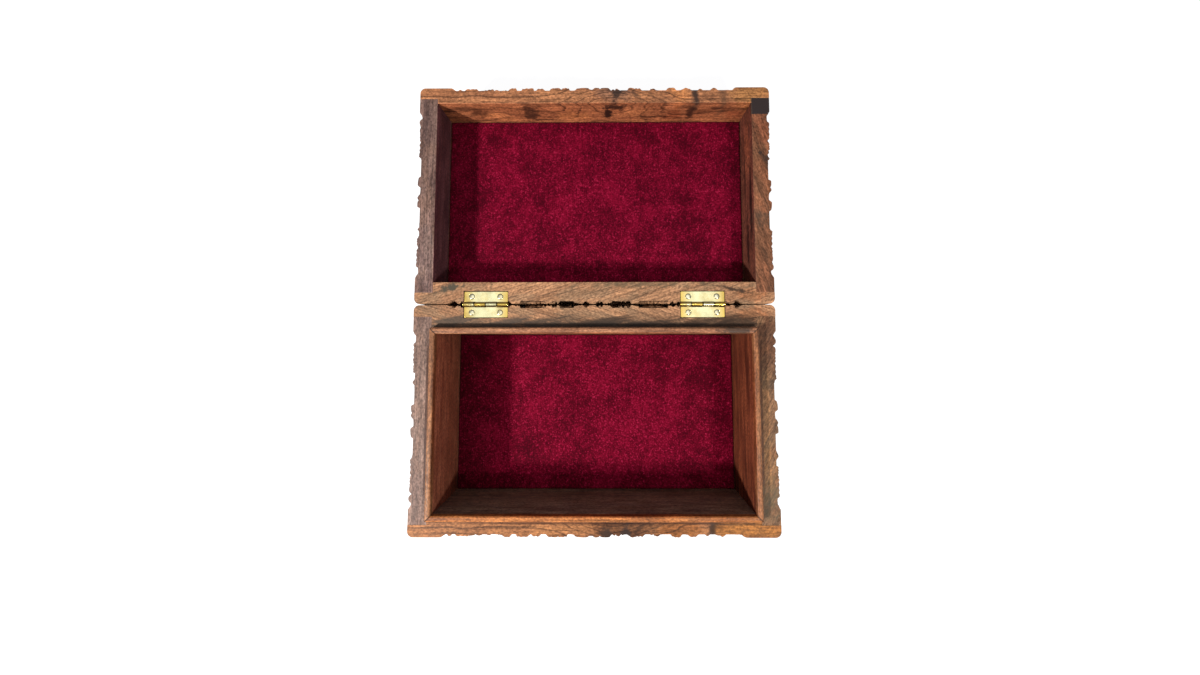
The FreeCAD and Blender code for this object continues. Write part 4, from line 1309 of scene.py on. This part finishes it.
def wave(start, end, level, swing, waveLength, phase=0.0, step=1.5):
    # a vine that swings about a level line
    reach = np.linspace(start, end, max(3, round(abs(end - start) / step)))
    return [(u, level + swing * math.sin(2 * math.pi * (u - start) / waveLength + phase)) for u in reach]


def ring(center, radius, step=4.0):
    angles = np.radians(np.linspace(0, 360, round(360 / step) + 1))
    return [(center[0] + radius * math.cos(a), center[1] + radius * math.sin(a)) for a in angles]


def eyeVine(low, eye, eyes, swing, side, steps=24):
    # a vine of arcs that passes over one eye and under the next
    bend = ((eye / 2) ** 2 + swing ** 2) / (2 * swing)
    line = []
    for i in range(eyes):
        u = np.linspace(-eye / 2, eye / 2, steps + 1)
        v = np.sqrt(bend ** 2 - u ** 2) - (bend - swing)
        line += [(low + eye * (i + 0.5) + a, side * b) for a, b in zip(u[min(i, 1):], v[min(i, 1):])]
        side = -side
    return line


def edgeVines(halfU, halfV, withEnds):
    # vines that swing along the edges of a field
    lines, inset = [], edgeVine["inset"]
    swinging = (edgeVine["swing"], edgeVine["waveLength"])
    for way in (-1, 1):
        line = wave(inset - halfU, halfU - inset, halfV - inset, *swinging)
        lines.append([(u, way * v) for u, v in line])
        if withEnds:
            line = wave(inset - halfV, halfV - inset, halfU - inset, *swinging)
            lines.append([(way * v, u) for u, v in line])
    return lines


def sideLayout(halfU, halfV, eyes):
    # a middle flower, pairs of crossing vines to both sides with a flower in each eye, and edge vines
    start, end = carving["sideFlower"] + carving["vineGap"], halfU - carving["vineGap"]
    eye = (end - start) / eyes
    lines, flowers = edgeVines(halfU, halfV, False), [(0, 0, carving["sideFlower"])]
    for low in (start, -end):
        lines += [eyeVine(low, eye, eyes, eye * carving["swingShare"], side) for side in (-1, 1)]
        flowers += [(low + eye * (i + 0.5), 0, eye * carving["eyeFlowerShare"]) for i in range(eyes)]
    return lines, flowers


def scroll(start, center, radius, turns, way):
    # a vine from a point into a closing spiral
    stepsPerTurn, enterAngle, endShare = 40, 1.2, 0.4
    angles = np.linspace(0, 2 * math.pi * turns, round(stepsPerTurn * turns))
    first = math.atan2(start[1] - center[1], start[0] - center[0])
    reaches = [math.dist(start, center), radius, endShare * radius]
    reach = np.interp(angles, [0, enterAngle, angles[-1]], reaches)
    return [
        (center[0] + r * math.cos(first + way * a), center[1] + r * math.sin(first + way * a))
        for a, r in zip(angles, reach)
    ]


def topLayout(halfU, halfV):
    # a wreath round a middle flower, ringed flowers to the ends and corners, scrolls between, edge vines
    wreath = halfV * topCarving["wreathShare"]
    lines = edgeVines(halfU, halfV, True) + [ring((0, 0), wreath)]
    flowers = [(0, 0, halfV * topCarving["flowerShare"])]
    cornerU, cornerV = halfU * topCarving["cornerShares"][0], halfV * topCarving["cornerShares"][1]
    scrollU, scrollV = halfU * topCarving["scrollShares"][0], halfV * topCarving["scrollShares"][1]
    leaveU, leaveV = (wreath * turn(topCarving["scrollFrom"]) for turn in (math.cos, math.sin))
    for wayU in (-1, 1):
        endU = wayU * (wreath + halfU) / 2
        flowers.append((endU, 0, halfV * topCarving["endFlowerShare"]))
        lines.append(ring((endU, 0), halfV * topCarving["endRingShare"]))
        for wayV in (-1, 1):
            start, middle = (wayU * leaveU, wayV * leaveV), (wayU * scrollU, wayV * scrollV)
            turns, radius = topCarving["scrollTurns"], topCarving["scrollRadius"]
            lines.append(scroll(start, middle, radius, turns, wayU * wayV))
            center = (wayU * cornerU, wayV * cornerV)
            lines.append(ring(center, halfV * topCarving["ringShare"]))
            flowers.append((*center, halfV * topCarving["cornerFlowerShare"]))
    return lines, flowers


reliefTree = makeReliefTree()
leafPattern = leafTemplate()
flowerPattern = flowerTemplate()


def carveField(name, halfU, halfV, layout, seed, leaves=1.0, chip=0.0, chipDetail=0.5, chipDepth=1.5):
    # the height field of one face as a mesh in the plane of the face
    lines, flowers = layout
    vines = vineLines(name + "Vines", lines)
    dots = flowerDots(name + "Flowers", flowers)
    modifier = vines.modifiers.new("carvedRelief", "NODES")
    modifier.node_group = reliefTree
    setInputs(modifier, {
        "Flowers": dots,
        "Leaf": leafPattern,
        "Flower": flowerPattern,
        "Field Width": 2 * halfU * mm,
        "Field Height": 2 * halfV * mm,
        "Cell": carving["cell"] * mm,
        "Ground Depth": carving["groundDepth"] * mm,
        "Run Out": carving["runOut"] * mm,
        "Stem Radius": carving["stemRadius"] * mm,
        "Leaf Length": carving["leafLength"] * leaves * mm,
        "Leaf Spacing": carving["leafSpacing"] * mm,
        "Leaf Angle": math.radians(carving["leafAngle"]),
        "Tool Marks": carving["toolMarks"] * mm,
        "Stipple Depth": carving["stippleDepth"] * mm,
        "Stipple Size": carving["stippleSize"] * mm,
        "Rim Level": rimLevel,
        "Chip Depth": chipDepth * mm if chip else 0.0,
        "Chip Size": max(chip, 1.0) * mm,
        "Chip Detail": chipDetail,
        "Seed": seed,
    })
    mesh = plainMesh(vines, name + "Field")
    dropObject(vines)
    dropObject(dots)
    return mesh


# Half sizes of the fields, in the plane of each face, measured from the middle of the shut box's side
lowest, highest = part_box("box_front_wall")
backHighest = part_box("box_back_wall")[1]
lidTopShut = max((shutTurn @ corner).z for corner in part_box("lid_top_panel"))
middleZ = lidTopShut / 2
rimLevel = highest.z - middleZ
halfLength = highest.x
halfWidth = backHighest.y
longHalf = (halfLength / mm - carving["endMargin"], middleZ / mm - carving["footMargin"])
shortHalf = (halfWidth / mm - carving["sideMargin"], middleZ / mm - carving["footMargin"])
topHalf = (halfLength / mm - carving["topMargin"], halfWidth / mm - carving["topMargin"])
fields = {
    "long": carveField("longSide", *longHalf, sideLayout(*longHalf, eyes=2), seed=4, chip=4.4),
    "back": carveField(
        "backSide", *longHalf, sideLayout(*longHalf, eyes=2),
        seed=17, leaves=0.72, chip=1.9, chipDetail=2.0, chipDepth=1.15,
    ),
    "short": carveField("shortSide", *shortHalf, sideLayout(*shortHalf, eyes=1), seed=9, chip=5.0),
    "top": carveField("lidTop", *topHalf, topLayout(*topHalf), seed=13),
}
print("carving fields:", {name: len(mesh.polygons) for name, mesh in fields.items()})


def fieldHeights(mesh):
    # the field's heights as a table, and how far each stands above its surroundings
    points = coordinates(mesh)
    us, vs = np.unique(np.round(points[:, 0], 7)), np.unique(np.round(points[:, 1], 7))
    order = np.lexsort((points[:, 0], points[:, 1]))
    table = points[order, 2].reshape(len(vs), len(us))
    blurred = table.copy()
    for axis in (0, 1):
        for shift in (1, 2, 3):
            around = np.roll(blurred, shift, axis) + np.roll(blurred, -shift, axis)
            blurred = 0.5 * blurred + 0.25 * around
    return us, vs, table, table - blurred


def sampleTable(us, vs, table, u, v):
    column = np.clip((u - us[0]) / (us[1] - us[0]), 0, len(us) - 1.001)
    row = np.clip((v - vs[0]) / (vs[1] - vs[0]), 0, len(vs) - 1.001)
    i, j = column.astype(int), row.astype(int)
    s, t = column - i, row - j
    low = table[j, i] * (1 - s) + table[j, i + 1] * s
    high = table[j + 1, i] * (1 - s) + table[j + 1, i + 1] * s
    return low * (1 - t) + high * t


def carvingTool(mesh, toFace):
    # the wood to take away: from the height field up to well above the face
    work = bmesh.new()
    work.from_mesh(mesh)
    for vertex in work.verts:
        vertex.co.z -= carving["faceSkin"] * mm
    closeRim(work, 2 * carving["groundDepth"] * mm)
    bmesh.ops.transform(work, matrix=toFace, verts=work.verts)
    return newObject("carvingTool", meshFromBmesh(work, "carvingTool"))


def facePlace(center, right, up):
    # carries the plane of a field on to a face of the shut box
    out = Vector(right).cross(Vector(up))
    turn = Matrix((right, up, out)).transposed().to_4x4()
    return Matrix.Translation(center) @ turn


places = {
    "front": facePlace((0, lowest.y, middleZ), (1, 0, 0), (0, 0, 1)),
    "back": facePlace((0, halfWidth, middleZ), (-1, 0, 0), (0, 0, 1)),
    "left": facePlace((-halfLength, 0, middleZ), (0, -1, 0), (0, 0, 1)),
    "right": facePlace((halfLength, 0, middleZ), (0, 1, 0), (0, 0, 1)),
    "top": facePlace((0, 0, lidTopShut), (1, 0, 0), (0, 1, 0)),
}
carvedBoards = (
    ("box_front_wall", "box", "long", "front"),
    ("lid_front_wall", "lid", "long", "front"),
    ("box_back_wall", "box", "back", "back"),
    ("lid_back_wall", "lid", "back", "back"),
    ("box_left_wall", "box", "short", "left"),
    ("lid_left_wall", "lid", "short", "left"),
    ("box_right_wall", "box", "short", "right"),
    ("lid_right_wall", "lid", "short", "right"),
    ("lid_top_panel", "lid", "top", "top"),
)
boardEdge = 0.22


def combine(mesh, other, operation):
    # one mesh with another added or taken away
    piece = newObject(mesh.name + "_whole", mesh)
    change = piece.modifiers.new("combine", "BOOLEAN")
    change.operation = operation
    change.solver = "MANIFOLD"
    change.object = other
    made = plainMesh(piece, mesh.name)
    dropObject(piece)
    dropObject(other)
    return made


def blankBoard(nodeName, half, toFace):
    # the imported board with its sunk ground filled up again, ready for the finer carving
    low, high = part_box(nodeName)
    back = toFace.inverted()
    corners = itertools.product((low.x, high.x), (low.y, high.y), (low.z, high.z))
    spots = [back @ Vector(corner) for corner in corners]
    slack = 0.2 * mm
    ends = []
    for axis, reach in enumerate((half[0] * mm + slack, half[1] * mm + slack)):
        levels = [spot[axis] for spot in spots]
        ends.append((max(-reach, min(levels)), min(reach, max(levels))))
    ends.append((-carving["solidDepth"] * mm - slack, 0.0))
    work = bmesh.new()
    bmesh.ops.create_cube(work, size=1.0)
    for vertex in work.verts:
        vertex.co = [(one + two) / 2 + share * (two - one) for (one, two), share in zip(ends, vertex.co)]
    bmesh.ops.transform(work, matrix=toFace, verts=work.verts)
    filler = newObject(nodeName + "_filler", meshFromBmesh(work, nodeName + "_filler"))
    filled = combine(solidCopy(nodeName), filler, "UNION")
    return easeEdges(wholeFaces(filled), boardEdge * mm)


def carveBoard(nodeName, body, fieldName, placeName):
    toFace = places[placeName]
    if body == "lid":
        toFace = shutTurn @ toFace
    half = {"long": longHalf, "back": longHalf, "short": shortHalf, "top": topHalf}[fieldName]
    tool = carvingTool(fields[fieldName], toFace)
    mesh = combine(blankBoard(nodeName, half, toFace), tool, "DIFFERENCE")

    # what lies under the face, inside the field, is carved
    us, vs, table, crest = fieldHeights(fields[fieldName])
    back = toFace.inverted()
    points = np.c_[coordinates(mesh), np.ones(len(mesh.vertices))] @ np.array(back).T
    u, v, depth = points[:, 0], points[:, 1], -points[:, 2]
    surface = carving["faceSkin"] * mm - sampleTable(us, vs, table, u, v)
    edgeSlack, cutSlack, fullCrest = 0.01 * mm, 0.06 * mm, 0.25 * mm
    onField = (np.abs(u) < us[-1] + edgeSlack) & (np.abs(v) < vs[-1] + edgeSlack)
    cutVertex = onField & (np.abs(depth - surface) < cutSlack)
    corner = readValues(mesh.loops, "vertex_index")
    starts = readValues(mesh.polygons, "loop_start")
    carvedFace = np.minimum.reduceat(cutVertex[corner].astype(np.int8), starts)
    setAttribute(mesh, "carved", "FACE", carvedFace)
    setAttribute(mesh, "sunk", "POINT", np.clip(depth / (carving["groundDepth"] * mm), 0, 1) ** 1.4)
    setAttribute(mesh, "crest", "POINT", np.clip(sampleTable(us, vs, crest, u, v) / fullCrest, 0, 1))
    return finishPiece(nodeName + "_board", mesh, materials[nodeName], nodeName, body)


for nodeName, body, fieldName, placeName in carvedBoards:
    piece = carveBoard(nodeName, body, fieldName, placeName)
    print("carved", piece.name, len(piece.data.polygons), "faces")
for pattern in (leafPattern, flowerPattern):
    dropObject(pattern)
for mesh in fields.values():
    bpy.data.meshes.remove(mesh)

# Plain boards: the bottom, and the four lining boards with their rounded lip
plainBoards = (
    ("box_bottom_panel", "carved_wood"),
    ("box_front_liner", "liner_wood"),
    ("box_back_liner", "liner_wood"),
    ("box_left_liner", "liner_wood"),
    ("box_right_liner", "liner_wood"),
)
for nodeName, slotName in plainBoards:
    mesh = easeEdges(solidCopy(nodeName), boardEdge * mm)
    finishPiece(nodeName + "_board", mesh, materials[nodeName], nodeName, "box")
print("plain boards done")

# Hinge leaves and pins
brassEdge = 0.2
brassParts = (
    ("left_hinge_box_leaf", "box"),
    ("right_hinge_box_leaf", "box"),
    ("left_hinge_pin", "box"),
    ("right_hinge_pin", "box"),
    ("left_hinge_lid_leaf", "lid"),
    ("right_hinge_lid_leaf", "lid"),
)
for nodeName, body in brassParts:
    mesh = easeEdges(solidCopy(nodeName), brassEdge * mm)
    finishPiece(nodeName + "_brass", mesh, brass[body], nodeName, body)
print("hinges done")


# Nails: one turned nail of each kind, set by a geometry tree on the spots where the solids stand

hingeNail = {"crown": 0.25, "sink": 0.6, "shank": 0.6, "point": 1.2, "hammered": 0.03, "edgeFrom": 0.72}
wireNail = {"crown": 0.0, "sink": 0.6, "shank": 0.7, "point": 1.5, "hammered": 0.02, "edgeFrom": 0.8}
nailSides = 32


def nailSpots(nodeName):
    # place, head radius and length of each nail in a packed group, in metres
    work = bmesh.new()
    work.from_mesh(nodes[nodeName].data)
    bmesh.ops.remove_doubles(work, verts=work.verts, dist=weldGap)
    left, spots = set(work.verts), []
    while left:
        found, edge = set(), [left.pop()]
        while edge:
            vertex = edge.pop()
            found.add(vertex)
            for link in vertex.link_edges:
                other = link.other_vert(vertex)
                if other in left:
                    left.remove(other)
                    edge.append(other)
        corners = np.array([vertex.co for vertex in found])
        low, high = corners.min(axis=0), corners.max(axis=0)
        spots.append((*((low + high) / 2)[:2], low[2], high[2], (high[0] - low[0]) / 2))
    work.free()
    return sorted(spots)


def nailTemplate(name, look, radius, length, countersunk):
    # a nail of real size, head up, with the top of its head at the origin
    r, shank = radius / mm, look["shank"]
    crown, sink, end = look["crown"], look["sink"], length / mm
    under = shank if countersunk else r
    point = [(0, -end), (0.5 * shank, look["point"] * 0.5 - end), (shank, look["point"] - end)]
    neck = [(shank, -sink - crown), (under, -sink - crown)]
    dome = ((1.0, 1.0), (0.92, 0.6), (0.7, 0.25), (0.42, 0.06), (0.0, 0.0))
    profile = point + neck + [(share * r, -drop * crown) for share, drop in dome]
    around = np.linspace(0, 2 * np.pi, nailSides + 1)[None, :]
    reach, height = np.array(profile).T[:, :, None]
    dents = np.random.default_rng(8).random((len(profile), around.shape[1])) * look["hammered"]
    dents[:, -1] = dents[:, 0]
    onCrown = (height > -0.3 * crown - 0.001) & (reach > 0)
    height = height - dents * onCrown
    points = np.stack([reach * np.cos(around), reach * np.sin(around), height], axis=-1) * mm
    work = bmesh.new()
    work.from_mesh(gridMesh(name, points))
    bmesh.ops.remove_doubles(work, verts=work.verts, dist=fineWeldGap)
    bmesh.ops.recalc_face_normals(work, faces=work.faces)
    mesh = meshFromBmesh(work, name)
    corners = coordinates(mesh) / mm
    share = np.hypot(corners[:, 0], corners[:, 1]) / r
    # the edge of the head, where painted shade darkens the nail
    rim = np.clip((share - look["edgeFrom"]) / (1 - look["edgeFrom"]), 0, 1)
    setAttribute(mesh, "edge", "POINT", np.where(corners[:, 2] > -crown - 0.01, rim, 0))
    return newObject(name, mesh)


def makeNailTree():
    inputs = {
        "Geometry": "Geometry",
        "Nail": "Object",
        "Least Size": 0.985,
        "Seed": 0,
        "Material": "Material",
    }
    tree, given, result = newTree("nailSet", "GeometryNodeTree", inputs, {"Geometry": "Geometry"})
    turn = turnAboutZ(tree, randomBetween(tree, 0.0, 2 * math.pi, given["Seed"]))
    size = randomBetween(tree, given["Least Size"], 1.0, given["Seed"])
    nail = meshOf(tree, given["Nail"])
    nails = firstOut(tree, "GeometryNodeInstanceOnPoints", {
        "Points": given["Geometry"], "Instance": nail, "Rotation": turn, "Scale": size,
    })
    endTree(tree, nails, given, result)
    return tree


nailTree = makeNailTree()


def setNails(nodeName, body, look, material, headUp, seed):
    spots = nailSpots(nodeName)
    low, high, radius = spots[0][2:]
    nail = nailTemplate(nodeName + "_one", look, radius, high - low, countersunk=headUp)
    if not headUp:
        nail.data.transform(Matrix.Rotation(math.pi, 4, "X"))
    mesh = bpy.data.meshes.new(nodeName + "_spots")
    mesh.from_pydata([(x, y, top if headUp else bottom) for x, y, bottom, top, reach in spots], [], [])
    points = newObject(nodeName + "_spots", mesh)
    modifier = points.modifiers.new("nailSet", "NODES")
    modifier.node_group = nailTree
    setInputs(modifier, {"Nail": nail, "Least Size": 0.985, "Seed": seed, "Material": material})
    made = plainMesh(points, nodeName + "_set")
    dropObject(points)
    dropObject(nail)
    finishPiece(nodeName + "_set", made, material, nodeName, body, flatAngle=30)


setNails("box_hinge_nails", "box", hingeNail, nailMetal, headUp=True, seed=3)
setNails("lid_hinge_nails", "lid", hingeNail, nailMetal, headUp=True, seed=5)
setNails("bottom_panel_pins", "box", wireNail, steel, headUp=False, seed=7)
print("nails set")


# Velvet linings: glued sheets whose pile stands up in soft tufts and rolls over at the edges

velvetSheet = {
    "cell": 0.62,
    "edgeRoll": 0.9,
    "edgeDrop": 0.55,
    "tuft": 0.16,
    "tuftSize": 1.3,
    "nap": 0.22,
    "napSize": 11.0,
}


def softNoise(u, v, size, seed):
    # smooth random hills, the same on every run
    cellCount, middleCell = 512, 200
    cells = np.random.default_rng(seed).random((cellCount, cellCount))
    a, b = u / size + middleCell, v / size + middleCell
    i, j = np.floor(a).astype(int), np.floor(b).astype(int)
    s, t = a - i, b - j
    s, t = s * s * (3 - 2 * s), t * t * (3 - 2 * t)
    low = cells[i, j] * (1 - s) + cells[i + 1, j] * s
    high = cells[i, j + 1] * (1 - s) + cells[i + 1, j + 1] * s
    return low * (1 - t) + high * t


def layVelvet(name, nodeName, body, seed):
    low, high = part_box(nodeName)
    width, length = high.x - low.x, high.y - low.y
    cell = velvetSheet["cell"] * mm
    us = np.linspace(low.x, high.x, round(width / cell) + 1)
    vs = np.linspace(low.y, high.y, round(length / cell) + 1)
    v, u = np.meshgrid(vs, us, indexing="ij")
    inward = np.minimum(np.minimum(u - low.x, high.x - u), np.minimum(v - low.y, high.y - v)) / mm
    roll = np.clip(1 - inward / velvetSheet["edgeRoll"], 0, 1) ** 2 * velvetSheet["edgeDrop"]
    tuft = velvetSheet["tuft"] * softNoise(u / mm, v / mm, velvetSheet["tuftSize"], seed)
    nap = velvetSheet["nap"] * softNoise(u / mm, v / mm, velvetSheet["napSize"], seed + 1)
    top = high.z - (roll + tuft + nap) * mm
    work = bmesh.new()
    work.from_mesh(gridMesh(name, np.stack([u, v, top], axis=-1)))
    closeRim(work, low.z)
    mesh = meshFromBmesh(work, name)
    sheet = finishPiece(name, mesh, velvet[body], nodeName, body, flatAngle=60)
    return sheet


layVelvet("box_velvet_lining", "box_velvet", "box", seed=21)
layVelvet("lid_velvet_lining", "lid_velvet", "lid", seed=34)
print("velvet laid")

# Floor, light and camera
floorLook = {"halfSize": 3.0, "under": 0.3, "white": 0.22, "glow": 0.9}


def layFloor():
    work = bmesh.new()
    bmesh.ops.create_grid(work, x_segments=2, y_segments=2, size=floorLook["halfSize"])
    bmesh.ops.translate(work, vec=(0, 0, -floorLook["under"] * mm), verts=work.verts)
    floor = newObject("floor", meshFromBmesh(work, "floor"))
    white = floorLook["white"]
    floorMaterial = newMaterial(
        "paleFloor",
        Base_Color=(white, white, white, 1),
        Roughness=0.9,
        Emission_Color=(1, 1, 1, 1),
        Emission_Strength=floorLook["glow"],
    )[0]
    floor.data.materials.append(floorMaterial)


lamps = {
    "leftWindow": {"place": (-0.43, -0.21, 0.47), "power": 6.05, "size": 0.05},
    "rightWindow": {"place": (0.235, -0.165, 0.5), "power": 1.45, "size": 0.05},
}
skyLook = {"low": 0.27, "high": 1.2, "from": 0.88, "to": 0.985, "tint": (0.96, 0.99, 1.08, 1)}


def setLights():
    for name, look in lamps.items():
        data = bpy.data.lights.new(name, "AREA")
        data.shape = "DISK"
        data.size = look["size"]
        data.energy = look["power"]
        lamp = bpy.data.objects.new(name, data)
        place = Vector(look["place"])
        lamp.matrix_world = Matrix.Translation(place) @ place.to_track_quat("Z", "Y").to_matrix().to_4x4()
        lamp.visible_camera = False
        bpy.context.scene.collection.objects.link(lamp)
    world = bpy.data.worlds.new("softSky")
    bpy.context.scene.world = world
    world.use_nodes = True
    tree = world.node_tree
    direction = tree.nodes.new("ShaderNodeTexCoord").outputs["Generated"]
    up = splitVector(tree, direction)[2]
    glow = ease(tree, up, skyLook["from"], skyLook["to"], skyLook["low"], skyLook["high"])
    # a white backdrop beyond the floor
    seen = tree.nodes.new("ShaderNodeLightPath").outputs["Is Camera Ray"]
    glow = firstOut(tree, "ShaderNodeMix", {0: seen, 2: glow, 3: 1.0})
    tree.nodes["Background"].inputs["Color"].default_value = skyLook["tint"]
    tree.links.new(glow, tree.nodes["Background"].inputs["Strength"])


# Camera, found by matching corners of the box with the photograph, in pixels of its 1200 x 675 frame
cameraFit = {
    "imageWidth": 1200,
    "imageHeight": 675,
    "focalPixels": 454.83,
    "middlePixel": (604.98, 302.72),
    "place": (7.44, 45.42, 300.30),
    "pitch": 0.0744,
    "yaw": -0.0052,
    "roll": -0.0013,
    "sensorWidth": 36.0,
}


def setCamera():
    fit = cameraFit
    data = bpy.data.cameras.new("photoCamera")
    data.sensor_width = fit["sensorWidth"]
    data.lens = fit["focalPixels"] / fit["imageWidth"] * fit["sensorWidth"]
    data.shift_x = (fit["imageWidth"] / 2 - fit["middlePixel"][0]) / fit["imageWidth"]
    data.shift_y = (fit["middlePixel"][1] - fit["imageHeight"] / 2) / fit["imageWidth"]
    data.clip_start = 1 * mm
    forward = Vector((0, math.sin(fit["pitch"]), -math.cos(fit["pitch"])))
    up = Vector((0, math.cos(fit["pitch"]), math.sin(fit["pitch"])))
    right = Vector((1, 0, 0))
    turn, lean = fit["yaw"], fit["roll"]
    ahead = forward * math.cos(turn) + right * math.sin(turn)
    aside = right * math.cos(turn) - forward * math.sin(turn)
    across = aside * math.cos(lean) + up * math.sin(lean)
    upward = up * math.cos(lean) - aside * math.sin(lean)
    camera = bpy.data.objects.new("photoCamera", data)
    camera.matrix_world = Matrix.Translation(Vector(fit["place"]) * mm) @ Matrix(
        (across, upward, -ahead)
    ).transposed().to_4x4()
    bpy.context.scene.collection.objects.link(camera)
    bpy.context.scene.camera = camera


layFloor()
setLights()
setCamera()
bpy.context.scene.view_settings.view_transform = "Standard"
print("floor, lights and camera set")
